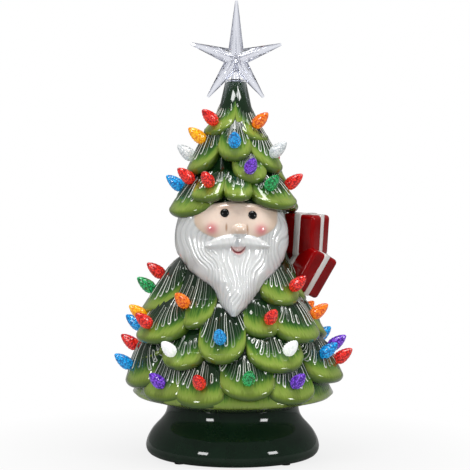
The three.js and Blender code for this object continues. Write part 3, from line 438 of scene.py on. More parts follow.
def branch_glaze():
    # Airbrushed ceramic glaze: a clear glassy coat over bottle green that was brushed out to lime at the rims
    material, tree, shader = new_material("airbrushed_green_glaze", {
        "Roughness": 0.1, "IOR": 1.35, "Coat Weight": GLAZE_COAT, "Coat Roughness": 0.04, "Coat IOR": 1.45,
    })
    uv = add(tree, "ShaderNodeUVMap", {"uv_map": "Branch"})
    rim = add(tree, "ShaderNodeSeparateXYZ", {}, {0: uv}).outputs[1]
    # Brush strokes 1 to 2 mm wide and 10 mm long, drawn along the branch
    strokes = add(tree, "ShaderNodeTexNoise", {"Scale": 1.0, "Detail": 3.0, "Roughness": 0.6}, {
        "Vector": add(tree, "ShaderNodeMapping", {"Scale": (75, 7, 1)}, {0: uv}),
    })
    patches = add(tree, "ShaderNodeTexNoise", {"Scale": 1.0, "Detail": 2.0}, {
        "Vector": add(tree, "ShaderNodeMapping", {"Scale": (7, 5, 1)}, {0: uv}),
    })
    ragged = add(tree, "ShaderNodeMath", {"operation": "MULTIPLY_ADD", 1: 0.14, 2: -0.07}, {0: strokes})
    drift = add(tree, "ShaderNodeMath", {"operation": "MULTIPLY_ADD", 1: 0.08, 2: -0.04}, {0: patches})
    near = add(tree, "ShaderNodeMath", {"operation": "MULTIPLY_ADD", 1: 12.0, 2: 0.3}, {0: rim})
    fade = add(tree, "ShaderNodeMath", {"operation": "MINIMUM", 1: 1.0}, {0: near})
    both = add(tree, "ShaderNodeMath", {"operation": "ADD"}, {0: ragged, 1: drift})
    shift = add(tree, "ShaderNodeMath", {"operation": "MULTIPLY"}, {0: both, 1: fade})
    edge = add(tree, "ShaderNodeMath", {"operation": "ADD"}, {0: rim, 1: shift})
    place = add(tree, "ShaderNodeMapRange", {"From Min": -0.08, "From Max": 0.32}, {"Value": edge})
    green = add(tree, "ShaderNodeValToRGB", {"stops": [
        (0.0, "#2b4514"), (0.12, "#4c6a1f"), (0.2, "#71892f"), (0.28, "#8fa548"), (0.37, "#83a03d"),
        (0.46, "#557f2a"), (0.55, "#2a581c"), (0.65, "#143815"), (1.0, "#0b260f"),
    ]}, {"Fac": place})
    tone = add(tree, "ShaderNodeMapRange", {"To Min": 0.82, "To Max": 1.18}, {"Value": strokes})
    toned = add(tree, "ShaderNodeMix", {"data_type": "RGBA", "blend_type": "MULTIPLY", 0: 1.0}, {
        6: green, 7: tone,
    })
    # Pale lines about 0.7 mm wide on the flanks of the carved needles: partly the glaze breaking thin over
    # the carving, partly painted highlight along the needles
    carving = add(tree, "ShaderNodeUVMap", {"uv_map": "Carving"})
    needle = add(tree, "ShaderNodeSeparateXYZ", {}, {0: carving})
    side = add(tree, "ShaderNodeMath", {"operation": "SUBTRACT", 1: 0.5}, {0: needle})
    off = add(tree, "ShaderNodeMath", {"operation": "ABSOLUTE"}, {0: side})
    line = add(tree, "ShaderNodeMapRange", {"From Min": 0.24, "From Max": 0.1}, {"Value": off})
    own = add(tree, "ShaderNodeMapRange", {
        "From Min": 0.2, "From Max": 0.65, "To Min": 0.05, "To Max": 0.95,
    }, {"Value": needle.outputs[1]})
    share = add(tree, "ShaderNodeMath", {"operation": "MULTIPLY"}, {0: line, 1: own})
    pale_break_and_highlight = add(tree, "ShaderNodeMix", {"data_type": "RGBA", 7: linear("#f2f5ec")}, {
        0: share, 6: toned.outputs[2],
    })
    # Unglazed white body inside the shell and under its flange
    bisque = add(tree, "ShaderNodeMath", {"operation": "GREATER_THAN", 1: INSIDE / 2}, {0: rim})
    colour = add(tree, "ShaderNodeMix", {"data_type": "RGBA", 7: linear("#dcd8ce")}, {
        0: bisque, 6: pale_break_and_highlight.outputs[2],
    })
    coat = {"operation": "MULTIPLY_ADD", 1: -GLAZE_COAT, 2: GLAZE_COAT}
    ripple = add(tree, "ShaderNodeTexNoise", {"Scale": RIPPLES, "Detail": 0.0}, {
        "Vector": add(tree, "ShaderNodeTexCoord").outputs["Object"],
    })
    link_up(tree, shader, {
        "Base Color": colour.outputs[2],
        "Roughness": add(tree, "ShaderNodeMath", {"operation": "MULTIPLY_ADD", 1: 0.5, 2: 0.1}, {0: bisque}),
        "Coat Weight": add(tree, "ShaderNodeMath", coat, {0: bisque}),
        "Normal": add(tree, "ShaderNodeBump", {"Distance": 0.0004, "Strength": 0.4}, {"Height": ripple}),
    })
    return material


def plain_glaze(name, code, deep, ior=1.42):
    # Dipped ceramic glaze: an even colour that pools a little darker, glassy with a soft ripple
    material, tree, shader = new_material(name, {"Roughness": 0.06, "IOR": ior})
    place = add(tree, "ShaderNodeTexCoord").outputs["Object"]
    cloud = add(tree, "ShaderNodeTexNoise", {"Scale": 60.0, "Detail": 3.0}, {"Vector": place})
    ripple = add(tree, "ShaderNodeTexNoise", {"Scale": RIPPLES, "Detail": 1.0}, {"Vector": place})
    link_up(tree, shader, {
        "Base Color": add(tree, "ShaderNodeValToRGB", {"stops": [(0.3, deep), (0.65, code)]}, {"Fac": cloud}),
        "Normal": add(tree, "ShaderNodeBump", {"Distance": 0.0003, "Strength": 0.3}, {"Height": ripple}),
    })
    return material


def painted_glaze():
    # Hand-painted white ceramic glaze: colours brushed under a clear glassy coat, which on the head also hold
    # painted shade in the beard's grooves and on the face
    material, tree, shader = new_material("painted_white_glaze", {
        "Roughness": 0.16, "IOR": 1.5, "Coat Weight": 0.7, "Coat Roughness": 0.05,
        "Subsurface Weight": 0.05, "Subsurface Radius": (0.002, 0.0015, 0.001),
    })
    paint_and_shade = add(tree, "ShaderNodeAttribute", {"attribute_name": "Paint"})
    # Paint lies slightly uneven, in patches of about 3 mm
    place = add(tree, "ShaderNodeTexCoord").outputs["Object"]
    cloud = add(tree, "ShaderNodeTexNoise", {"Scale": 330.0, "Detail": 2.0}, {"Vector": place})
    tone = add(tree, "ShaderNodeMapRange", {"To Min": 0.96, "To Max": 1.03}, {"Value": cloud})
    mixed = add(tree, "ShaderNodeMix", {"data_type": "RGBA", "blend_type": "MULTIPLY", 0: 1.0}, {
        6: paint_and_shade, 7: tone,
    })
    link_up(tree, shader, {
        "Base Color": mixed.outputs[2],
        "Normal": add(tree, "ShaderNodeBump", {"Distance": 0.0001, "Strength": 0.5}, {"Height": cloud}),
    })
    return material


def bulb_plastic(name, core, skin, glow):
    # Moulded polystyrene twist bulb, dyed through and lit from within, with a pebbled outside
    material, tree, shader = new_material(name, {
        "Roughness": 0.12, "IOR": 1.55, "Coat Weight": 0.6, "Coat Roughness": 0.04,
        "Emission Strength": glow,
    })
    # Pebbles of about 1.5 mm
    place = add(tree, "ShaderNodeTexCoord").outputs["Object"]
    pebbles = add(tree, "ShaderNodeTexVoronoi", {"Scale": 650.0}, {"Vector": place})
    stops = [(0.0, core), (0.25, core), (0.7, skin)]
    colour = add(tree, "ShaderNodeValToRGB", {"stops": stops}, {"Fac": pebbles})
    link_up(tree, shader, {
        "Base Color": colour, "Emission Color": colour,
        "Normal": add(tree, "ShaderNodeBump", {"Distance": 0.0003, "Strength": 0.8}, {"Height": pebbles}),
    })
    return material


def clear_acrylic():
    # Clear moulded acrylic: water-white and glossy, with painted shade that greys it towards its edges as
    # they turn edge-on to the camera
    material, tree, shader = new_material("clear_moulded_acrylic", {
        "Roughness": 0.03, "IOR": 1.49, "Transmission Weight": 1.0,
    })
    # Painted shade: near white where the surface faces the camera, dark grey where it turns edge-on
    facing = add(tree, "ShaderNodeLayerWeight", {"Blend": 0.4}).outputs["Facing"]
    place = add(tree, "ShaderNodeTexCoord").outputs["Object"]
    flow = add(tree, "ShaderNodeTexNoise", {"Scale": 60.0, "Detail": 0.0}, {"Vector": place})
    link_up(tree, shader, {
        "Base Color": add(tree, "ShaderNodeValToRGB", {"stops": [
            (0.08, "#e8eaf2"), (0.22, "#d8dae5"), (0.36, "#aaadba"), (0.55, "#666976"), (0.9, "#4a4d58"),
        ]}, {"Fac": facing}),
        "Normal": add(tree, "ShaderNodeBump", {"Distance": 0.0004, "Strength": 0.2}, {"Height": flow}),
    })
    return material


def moulded(name, code, other, roughness, grain_mm=0.8, metallic=0.0):
    # A plain moulded, drawn or plated part: nearly even colour with a fine surface grain
    material, tree, shader = new_material(name, {"Roughness": roughness, "Metallic": metallic})
    place = add(tree, "ShaderNodeTexCoord").outputs["Object"]
    grain = add(tree, "ShaderNodeTexNoise", {"Scale": 1000 / grain_mm, "Detail": 2.0}, {"Vector": place})
    stops = [(0.35, other), (0.65, code)]
    link_up(tree, shader, {
        "Base Color": add(tree, "ShaderNodeValToRGB", {"stops": stops}, {"Fac": grain}),
        "Normal": add(tree, "ShaderNodeBump", {"Distance": 0.00005, "Strength": 0.4}, {"Height": grain}),
    })
    return material


# Sizes and colours that a user would change

class CERAMIC_tree_sizes(bpy.types.PropertyGroup):
    needle_pitch: bpy.props.FloatProperty(
        name="Needle pitch", description="Width of one carved needle at the rim", default=0.0068,
        min=0.002, unit="LENGTH")
    needle_height: bpy.props.FloatProperty(
        name="Needle height", description="How far a needle stands above its grooves", default=0.001,
        min=0.0, unit="LENGTH")
    mesh_across: bpy.props.FloatProperty(
        name="Mesh step across", description="Spacing of the mesh across a front branch", default=0.00055,
        min=0.0002, unit="LENGTH")
    mesh_along: bpy.props.FloatProperty(
        name="Mesh step along", description="Spacing of the mesh along a front branch", default=0.0012,
        min=0.0002, unit="LENGTH")
    strand_pitch: bpy.props.FloatProperty(
        name="Strand pitch", description="Width of one strand of the beard at its widest", default=0.0044,
        min=0.002, unit="LENGTH")
    strand_depth: bpy.props.FloatProperty(
        name="Strand depth", description="Depth of the grooves between strands", default=0.0009,
        min=0.0, unit="LENGTH")
    bulb_knurl: bpy.props.FloatProperty(
        name="Bulb pebbles", description="Height of the pebbles on a bulb", default=0.00022,
        min=0.0, unit="LENGTH")
    bulb_glow: bpy.props.FloatProperty(
        name="Bulb glow", description="Strength of the light in a bulb", default=0.5, min=0.0)


class CERAMIC_tree_colours(bpy.types.PropertyGroup):
    beard: bpy.props.FloatVectorProperty(
        name="Beard", description="White of the beard and hair", default=linear("#eeefee")[:3],
        subtype="COLOR", size=3, min=0.0, max=1.0)
    skin: bpy.props.FloatVectorProperty(
        name="Skin", description="Skin of the face", default=linear("#f2dccb")[:3],
        subtype="COLOR", size=3, min=0.0, max=1.0)
    blush: bpy.props.FloatVectorProperty(
        name="Blush", description="Cheeks", default=linear("#e0737e")[:3],
        subtype="COLOR", size=3, min=0.0, max=1.0)


def sizes():
    return bpy.context.scene.ceramic_tree_sizes


def colours():
    return bpy.context.scene.ceramic_tree_colours


# Tree shell: bulging branch tongues with carved needles and rolled rims on a hollow trunk

def trunk_radius(height):
    return read_table(TRUNK, height)


def branch_point(branch, c, s):
    """A point on the back of a branch: c is -1 to 1 across it, s is 0 at the root to 1 at the rim."""
    turn, half, root, lip, lip_radius, rise, swell = branch
    width = math.sqrt(max(0.0, 1 - c * c))
    rim = lip + rise * (1 - width) + RIM
    height = lerp(root, rim, s)
    middle = lerp(root, lip + RIM, s)
    ridge = lerp(trunk_radius(root) - 1, lip_radius, s ** swell)
    out = (ridge - trunk_radius(middle)) * width ** 0.9
    return math.radians(turn + half * c), height, trunk_radius(height) + out, out


def back_rows():
    return [
        [(lerp(first, last, i / (count - 1)), *rest) for i in range(count)]
        for first, last, count, *rest in BACK_ROWS.values()
    ]


def needle_height(c, from_rim, reach, count, seed):
    """Height of a carved needle, its outline and its own tone, 0 to 1. Needles fan out from the root."""
    spread = lerp(1.0, NEEDLE_FAN, clamp(from_rim / reach))
    phase = c / spread * count / 2 + seed + 0.14 * math.sin(from_rim * 0.13 + seed * 9)
    number = math.floor(phase + 0.5)
    start = reach * (NEEDLE_START[0] + NEEDLE_START[1] * scatter(number, seed))
    end = NEEDLE_END[0] + NEEDLE_END[1] * scatter(number + 31, seed)
    ends = smooth((start - from_rim) / NEEDLE_RUN_IN) * smooth((from_rim - end) / NEEDLE_RUN_OUT)
    ridge = (0.5 + 0.5 * math.cos((phase - number) * math.tau)) ** 1.6
    return ridge * ends * (0.7 + 0.4 * scatter(number + 7, seed)), ridge * ends, scatter(number + 17, seed)


def branch_object(name, branch, index, across, along):
    _, half, root, lip, lip_radius, rise, _ = branch
    seed = scatter(index, 3.1)
    reach = math.hypot(root - lip - RIM, lip_radius - trunk_radius(root))
    roll_length = RIM * RIM_TURN
    total = reach + roll_length + ROOT_DEPTH
    wide = 2 * math.radians(half) * lip_radius
    needles = max(4, round(wide * MM / sizes().needle_pitch))
    tall = sizes().needle_height / MM
    bm = bmesh.new()
    layer = bm.loops.layers.uv.new("Branch")
    carving = bm.loops.layers.uv.new("Carving")
    bmesh.ops.create_grid(
        bm, x_segments=max(20, round(wide / across)), y_segments=max(20, round(total / along)), size=1)
    uv = {}
    outlines = {}
    relief = {}
    for vert in bm.verts:
        c = math.sin(vert.co.x * math.pi / 2)
        path = (vert.co.y + 1) / 2 * total
        s = clamp(path / reach)
        roll = clamp((path - reach) / roll_length) * RIM_TURN
        angle, height, radius, out = branch_point(branch, c, s)
        width = math.sqrt(max(0.0, 1 - c * c))
        length = math.hypot(root - lip - rise * (1 - width) - RIM, (lip_radius - trunk_radius(root)) * width)
        depth = min(RIM, max(out, 0.5))
        height -= RIM * math.sin(roll)
        radius -= depth * (1 - math.cos(roll))
        inner = trunk_radius(height) - ROOT_DEPTH
        if path > reach + roll_length:
            radius = lerp(radius, inner, (path - reach - roll_length) / ROOT_DEPTH)
        edge = vert.is_boundary
        if edge:
            radius = min(radius, inner)
        from_rim = (1 - s) * length - RIM * roll
        uv[vert.index] = (2 * index + math.radians(half) * c * radius / 100, from_rim / 100)
        wave = noise.noise(Vector((angle * 5 + index, height * 0.07, 0.5))) * GLAZE_WAVE
        carved = 0
        outlines[vert.index] = (0, 0)
        if roll == 0:
            carved, *outlines[vert.index] = needle_height(c, from_rim, max(length, 1), needles, seed)
        relief[vert.index] = 0.0 if edge else (wave + carved * tall) * width ** 0.5
        vert.co = (radius * math.sin(angle), -radius * math.cos(angle), height + TREE_Z)
    bm.normal_update()
    bm.verts.index_update()
    middle = min(bm.verts, key=lambda v: abs(uv[v.index][0] - 2 * index) + abs(uv[v.index][1] - 0.15))
    outward = 1 if middle.normal.xy.dot(middle.co.xy) > 0 else -1
    shifts = [(vert, vert.normal * outward * relief[vert.index]) for vert in bm.verts]
    for vert, shift in shifts:
        vert.co += shift
    for face in bm.faces:
        for loop in face.loops:
            loop[layer].uv = uv[loop.vert.index]
            loop[carving].uv = outlines[loop.vert.index]
    bmesh.ops.holes_fill(bm, edges=[edge for edge in bm.edges if edge.is_boundary], sides=0)
    bmesh.ops.recalc_face_normals(bm, faces=bm.faces)
    place_mm(bm)
    return to_object(bm, name)


def marked_solid(bm, name, mark):
    """A closed tool whose faces carry one place on the branch map, or one that goes by their height."""
    layer = bm.loops.layers.uv.new("Branch")
    bm.loops.layers.uv.new("Carving")
    for face in bm.faces:
        for loop in face.loops:
            height = loop.vert.co.z
            place = math.atan2(loop.vert.co.x, -loop.vert.co.y)
            loop[layer].uv = (place, mark(height)) if callable(mark) else (0, mark)
    place_mm(bm, ON_BASE)
    return to_object(bm, name)


def trunk_object():
    bm = bmesh.new()
    side = [(radius, height) for height, radius in TRUNK]
    spun(bm, [(0, 0), *side, (0, TREE_HEIGHT)], 96)
    # The hem under the skirt is brushed like a rim
    return marked_solid(bm, "trunk", lambda height: min(0.4, (height - 5) / 100))


def hollow_object():
    bm = bmesh.new()
    top = TREE_HEIGHT - HAT_SOLID
    wall = [(radius - TREE_WALL, height) for height, radius in TRUNK if TREE_FLANGE + 6 < height < top]
    spun(bm, [
        (0, -3), (TREE_MOUTH_RADIUS, -3), (TREE_MOUTH_RADIUS, TREE_FLANGE), *wall,
        (STEM_HOLE_RADIUS, top), (STEM_HOLE_RADIUS, TREE_HEIGHT + 3), (0, TREE_HEIGHT + 3),
    ], 80)
    return marked_solid(bm, "hollow", INSIDE)


def block_object(name, low, high, mark):
    bm = bmesh.new()
    bmesh.ops.create_cube(bm, size=1)
    bmesh.ops.scale(bm, vec=(400, 400, high - low), verts=bm.verts)
    bmesh.ops.translate(bm, vec=(0, 0, (low + high) / 2), verts=bm.verts)
    return marked_solid(bm, name, mark)


def build_shell():
    step = (sizes().mesh_across / MM, sizes().mesh_along / MM)
    front = [branch_object(name, branch, i, *step) for i, (name, branch) in enumerate(BRANCHES.items())]
    brim = [
        branch_object(name, branch, BRIM_FIRST + i, *step) for i, (name, branch) in enumerate(BRIM.items())
    ]
    back = [
        branch_object(f"back_{i}", branch, BACK_FIRST + i, step[0] * BACK_MESH[0], step[1] * BACK_MESH[1])
        for i, branch in enumerate(sum(back_rows(), []))
    ]
    room = [head_room()] + [box_room(name) for name in BOXES]
    body = front[0]
    cut(body, "branches", "UNION", front[1:] + back)
    cut(body, "rooms", "DIFFERENCE", room)
    cut(body, "trunk_and_brim", "UNION", [trunk_object()] + brim)
    cut(body, "inside", "DIFFERENCE", [hollow_object(), block_object("below", -60, 0, INSIDE)])
    whole = evaluated(body)
    material = branch_glaze()
    pieces = []
    for name, (low, high) in SECTIONS.items():
        part = mesh_object(whole.copy(), f"part_{name}")
        slab = block_object(f"slab_{name}", low, high, INSIDE)
        cutter = part.modifiers.new("slab", "BOOLEAN")
        cutter.solver, cutter.operation, cutter.object = "MANIFOLD", "INTERSECT", slab
        piece = mesh_object(evaluated(part), f"tree_glaze_{name}", [material], 80)
        if len(piece.data.polygons) < 1000:
            raise RuntimeError(f"{name}: the branches didn't join into one shell")
        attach(piece, "tree")
        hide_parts("tree_shell")
        pieces.append(piece)
        discard([part, slab])
    tools = [obj for group in bpy.data.collections for obj in group.objects if group.name in (
        "branches", "rooms", "trunk_and_brim", "inside")]
    discard([body] + tools)
    bpy.data.meshes.remove(whole)
    return pieces


# Head: bearded, with nose, moustache and strands raised from one surface

def head_point(unit, extra=0.0):
    ring = math.acos(clamp(unit.z, -1, 1)) / math.pi
    share = clamp((ring * 12 - 0.5) / 11)
    cap = min(1.0, ring * 24, (1 - ring) * 24)
    left = read_smooth(HEAD_OUTLINE, share, 1)
    right = read_smooth(HEAD_OUTLINE, share, 2)
    front = read_smooth(HEAD_OUTLINE, share, 3)
    height = HEAD_TOP - share * HEAD_LENGTH
    spread = math.hypot(unit.x, unit.y)
    middle, half = (left + right) / 2, ((right - left) / 2 + extra) * cap
    if spread < 1e-6:
        return Vector((middle, HEAD_BACK, height))
    turned = math.atan2(unit.x, -unit.y)
    turned *= 0.5 + 0.5 * abs(turned) / math.pi
    side, ahead = math.sin(turned), -math.cos(turned)
    depth = (front + HEAD_BACK if ahead < 0 else HEAD_BACK_DEPTH) + extra
    return Vector((
        middle + half * side,
        HEAD_BACK + depth * cap * math.copysign(abs(ahead) ** HEAD_FULLNESS, ahead),
        height,
    ))


def head_room():
    bm = bmesh.new()
    bmesh.ops.create_uvsphere(bm, u_segments=96, v_segments=64, radius=1)
    for vert in bm.verts:
        vert.co = head_point(vert.co.normalized(), 0.3)
    bmesh.ops.recalc_face_normals(bm, faces=bm.faces)
    return marked_solid(bm, "head_room", 0.4)


def moustache_height(x, z):
    """0 to 1 over the two lobes of the moustache, with a dip between them."""
    reach = (x - MOUSTACHE["x"]) / MOUSTACHE["half"]
    if abs(reach) >= 1:
        return 0.0
    middle = MOUSTACHE["z"] - MOUSTACHE["drop"] * reach * reach
    half = MOUSTACHE["thick"] * (1 - abs(reach) ** 2.6) ** 0.6
    across = (z - middle) / max(half, 0.1)
    if abs(across) >= 1:
        return 0.0
    dip = 1 - 0.55 * bell((x - MOUSTACHE["x"]) / 1.8)
    return (1 - across * across) * dip


def strand_height(x, z):
    """0 in the grooves to 1 on the crests of the beard's strands, which gather towards its tip."""
    share = clamp((HEAD_TOP - z) / HEAD_LENGTH)
    left, right = read_smooth(HEAD_OUTLINE, share, 1), read_smooth(HEAD_OUTLINE, share, 2)
    middle, half = (left + right) / 2, max((right - left) / 2, 4)
    gather = 14 + 0.68 * half
    count = 45 / (sizes().strand_pitch / MM)
    across = (x - middle) / gather
    sway = 0.5 * math.sin(z * 0.17 + across * 5) + 1.6 * noise.noise(Vector((x * 0.07, z * 0.045, 1.7)))
    phase = across * count + sway
    number = math.floor(phase)
    crest = abs(math.sin(math.pi * phase)) ** 0.7
    fine = abs(math.sin(math.pi * phase * 2.4 + z * 0.05)) ** 0.8
    height = 0.75 + 0.25 * scatter(number, 5.3)
    return clamp(height * (0.74 * crest + 0.26 * fine))


def face_skin(x, z, from_middle):
    """Raised height and colour of the skin, with cheeks, nose and eye sockets, and painted shade at its edge,
    beside the nose and above the eyes.
    """
    # Painted shade: the skin turns warmer and darker towards its edge
    edge_shade = 1 - smooth((0.9 - from_middle) / 0.45)
    tall, skin_and_shade = 0.0, mix_colour(colours().skin, "#dfc3a6", 0.55 * edge_shade)
    for cheek_x, cheek_z in CHEEKS:
        far = math.hypot(x - cheek_x, z - cheek_z)
        tall += CHEEK["height"] * bell(far / CHEEK["reach"])
        skin_and_shade = mix_colour(skin_and_shade, colours().blush, 0.85 * bell(far / CHEEK["blush"], 2.4))
    nose_x, nose_z = x - NOSE["x"], z - NOSE["z"]
    nose = (2 * nose_x / NOSE["width"]) ** 2 + (2 * nose_z / NOSE["height"]) ** 2
    if nose < 1:
        tall += NOSE["depth"] * (1 - nose) ** 0.7
    tip = math.hypot(nose_x / 4.5, (nose_z + 1) / 3.5)
    skin_and_shade = mix_colour(skin_and_shade, "#d8b394", 0.5 * bell(tip))
    # Painted shade in the creases either side of the nose
    for shadow_x, shadow_z in NOSE_SHADOWS:
        far = math.hypot((x - shadow_x) / 0.9, (z - shadow_z) / 3.4)
        skin_and_shade = mix_colour(skin_and_shade, "#a9784f", 0.75 * bell(far, 4))
    for eye_x, eye_z in EYES:
        far = math.hypot(x - eye_x, z - eye_z)
        tall -= EYE_SOCKET["depth"] * bell(far / EYE_SOCKET["reach"])
        # Painted shade just above each eye
        brow_shade = math.hypot((x - eye_x) / 6, (z - eye_z - 4.5) / 2.4)
        skin_and_shade = mix_colour(skin_and_shade, "#c79f86", 0.5 * bell(brow_shade))
    return tall, skin_and_shade


def add_mouth(x, z, tall, colour):
    """Cuts the smiling mouth and its lower lip into the beard."""
    across = (x - MOUTH["x"]) / MOUTH["half"]
    if abs(across) >= 1.25:
        return tall, colour
    above = z - MOUTH["z"] - MOUTH["lift"] * across * across
    top = MOUTH["lift"] * (1 - across * across) + 0.5
    ends = smooth((1.15 - abs(across)) / 0.2)
    if -MOUTH["line"] < above < top:
        tall -= MOUTH["depth"] * ends * smooth((above + MOUTH["line"]) / 0.6)
    inner = ends * smooth((above - 0.4) / 0.4) * smooth((top - above) / 0.5)
    thin = MOUTH["line"] * (0.75 + 0.25 * (1 - across * across))
    colour = mix_colour(colour, "#e6cfcb", inner)
    colour = mix_colour(colour, "#7d1220", ends * bell(above / (thin * 0.62), 4))
    colour = mix_colour(colour, "#eba9a6", 0.75 * ends * bell((above + 1.5) / 0.7))
    return tall + 0.7 * ends * bell((above + 2.0) / 1.2), colour


def face_point(x, z):
    """Raised height in millimetres and colour at a place on the front of the head."""
    white, groove_shade = tuple(colours().beard), linear("#c8cccd")[:3]
    strands = strand_height(x, z)
    low = ((z - SKIN["z"]) / SKIN["drop"]) ** 2 if z < SKIN["z"] else 0
    from_middle = ((x - SKIN["x"]) / SKIN["half"]) ** 2 + low
    inside = smooth((1.07 - from_middle) / 0.14)
    skin_tall, skin_and_shade = face_skin(x, z, from_middle)
    tall = (1 - inside) * (strands - 1) * sizes().strand_depth / MM + skin_tall
    # Painted shade: the beard is grey in the grooves between its strands and white on their crests
    colour = mix_colour(mix_colour(groove_shade, white, clamp(0.35 + 0.65 * strands)), skin_and_shade, inside)
    lobe = moustache_height(x, z)
    if lobe > 0:
        tall = lerp(tall, MOUSTACHE["depth"] + 0.5 * (strands - 1), smooth(lobe))
        # Painted shade: a bluish grey in the dip between the moustache's lobes
        dip = bell(math.hypot((x - MOUSTACHE["x"]) / 1.4, (z - MOUSTACHE["z"] + 1.5) / 3))
        hair = mix_colour(groove_shade, white, 0.8 + 0.2 * strands)
        hair = mix_colour(hair, "#b9c2c8", 0.7 * dip)
        colour = mix_colour(colour, hair, smooth(lobe * 6))
    return add_mouth(x, z, tall, colour)


def build_head():
    bm = bmesh.new()
    bmesh.ops.create_uvsphere(bm, u_segments=320, v_segments=208, radius=1)
    for vert in bm.verts:
        vert.co = head_point(vert.co.normalized())
    bmesh.ops.recalc_face_normals(bm, faces=bm.faces)
    bm.normal_update()
    paint_and_shade = bm.verts.layers.float_color.new("Paint")
    shifts = []
    for vert in bm.verts:
        front = smooth((HEAD_BACK + 4 - vert.co.y) / 8)
        tall, colour = face_point(vert.co.x, vert.co.z)
        vert[paint_and_shade] = (*colour, 1.0)
        shifts.append((vert, vert.normal * tall * front))
    for vert, shift in shifts:
        vert.co += shift
    surface = BVHTree.FromBMesh(bm)
    place_mm(bm, ON_BASE)
    head = to_object(bm, "bearded_head_glaze", [painted_glaze()], 60)
    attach(head, "tree")
    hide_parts("bearded_head")
    bead = bmesh.new()
    for eye_x, eye_z in EYES:
        hit = surface.ray_cast(Vector((eye_x, -200, eye_z)), Vector((0, 1, 0)))
        made = bmesh.ops.create_uvsphere(bead, u_segments=32, v_segments=20, radius=EYE_RADIUS)["verts"]
        facing = hit[1].to_track_quat("Z", "Y").to_matrix().to_4x4()
        bmesh.ops.scale(bead, vec=(1, 1, 0.5), verts=made)
        bmesh.ops.transform(bead, matrix=Matrix.Translation(hit[0]) @ facing, verts=made)
    place_mm(bead, ON_BASE)
    eyes = to_object(bead, "bead_eyes", [plain_glaze("black_bead_glaze", "#0a0a0b", "#050506")], 60)
    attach(eyes, "tree")


# Gift boxes with crossed ribbons

def box_matrix(name):
    _, at, turn, lean = BOXES[name]
    return (
        Matrix.Translation(at)
        @ Matrix.Rotation(math.radians(lean), 4, "Y") @ Matrix.Rotation(math.radians(turn), 4, "Z")
    )


def rounded_block(bm, size, radius, segments, index):
    others = set(bm.faces)
    made = bmesh.ops.create_cube(bm, size=1)["verts"]
    bmesh.ops.scale(bm, vec=size, verts=made)
    edges = list({edge for vert in made for edge in vert.link_edges})
    bmesh.ops.bevel(
        bm, geom=edges, offset=radius, affect="EDGES", segments=segments, profile=0.5, material=-1)
    for face in set(bm.faces) - others:
        face.material_index = index


def box_room(name):
    size = BOXES[name][0]
    bm = bmesh.new()
    rounded_block(bm, [side + 2 * BOX_GAP for side in size], 3, 2, 0)
    bmesh.ops.transform(bm, matrix=box_matrix(name), verts=bm.verts)
    return marked_solid(bm, f"{name}_room", 0.4)


def build_boxes():
    red = plain_glaze("red_glaze", "#9c0508", "#820306", 1.3)
    white = plain_glaze("ribbon_white_glaze", "#f1eeea", "#e6e2de")
    for name, (size, _, _, _) in BOXES.items():
        width, depth, height = size
        proud = 2 * RIBBON_PROUD
        bm = bmesh.new()
        rounded_block(bm, size, BOX_EDGE, 5, 0)
        rounded_block(bm, (RIBBON_WIDTH, depth + proud, height + proud), 0.6, 2, 1)
        rounded_block(bm, (width + proud, RIBBON_WIDTH, height + proud), 0.6, 2, 1)
        place_mm(bm, ON_BASE @ box_matrix(name))
        box = to_object(bm, f"{name}_glaze", [red, white], 35)
        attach(box, "tree")
        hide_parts(name)


# Push-in bulbs

def bulb_matrix(branch, c, s):
    angle, height, radius, _ = branch_point(branch, c, s)
    axis = Vector((
        math.sin(angle) * math.cos(BULB_RISE), -math.cos(angle) * math.cos(BULB_RISE), math.sin(BULB_RISE)))
    foot = Vector((radius * math.sin(angle), -radius * math.cos(angle), height + TREE_Z)) + axis * BULB_GAP
    return Matrix.Translation(foot) @ axis.to_track_quat("Z", "Y").to_matrix().to_4x4()


def add_bulb(bm, matrix):
    side = [(BULB_RADIUS * part, BULB_LENGTH * share) for share, part in BULB_SIDE]
    one = bmesh.new()
    spun(one, [(0, side[0][1]), *side, (0, BULB_LENGTH)], BULB_SIDES)
    knurl = sizes().bulb_knurl / MM
    pitch = math.tau / BULB_SIDES
    heights = sorted({round(v.co.z, 3) for v in one.verts})
    for vert in one.verts:
        spread = vert.co.xy.length
        if spread < 0.5 or vert.co.z < 0.5:
            continue
        row = heights.index(round(vert.co.z, 3))
        column = round(math.atan2(vert.co.y, vert.co.x) / pitch)
        push = knurl * (1 if (row + column) % 2 else -1)
        vert.co.xy *= (spread + push) / spread
    bmesh.ops.transform(one, matrix=Matrix.Scale(MM, 4) @ matrix, verts=one.verts)
    mesh = bpy.data.meshes.new("bulb")
    one.to_mesh(mesh)
    one.free()
    bm.from_mesh(mesh)
    bpy.data.meshes.remove(mesh)


def back_bulb_places():
    """The bulbs at the ends of a row sit towards its middle, where they don't show from the front."""
    places = []
    for row in back_rows():
        for i, branch in enumerate(row):
            inward = (i == 0) - (i == len(row) - 1)
            across = BACK_ACROSS * inward
            if inward and math.cos(math.radians(branch[0] + across * branch[1])) > SIDE_LIMIT:
                branch, across = row[i + inward], -across
            places.append(bulb_matrix(branch, across, BACK_ALONG))
    return places


def bulb_materials():
    glow = sizes().bulb_glow
    looks = {
        "red": ("#f53225", "#94060c"), "orange": ("#ff8a1c", "#c24404"),
        "amber": ("#ffc21e", "#d87a00"), "blue": ("#1cacf2", "#055c9e"),
        "green": ("#2ab065", "#08501f"), "purple": ("#8148d6", "#340c7a"),
        "clear": ("#eef1f1", "#bcc3c6"), "white": ("#ffffff", "#dfe5e0"),
    }
    strength = {"clear": 0.6 * glow, "white": 1.1 * glow, "purple": 1.2 * glow}
    return {
        name: bulb_plastic(f"{name}_polystyrene_bulb", *looks[name], strength.get(name, glow))
        for name in (*BULB_COLOURS, LIT_CLEAR)
    }


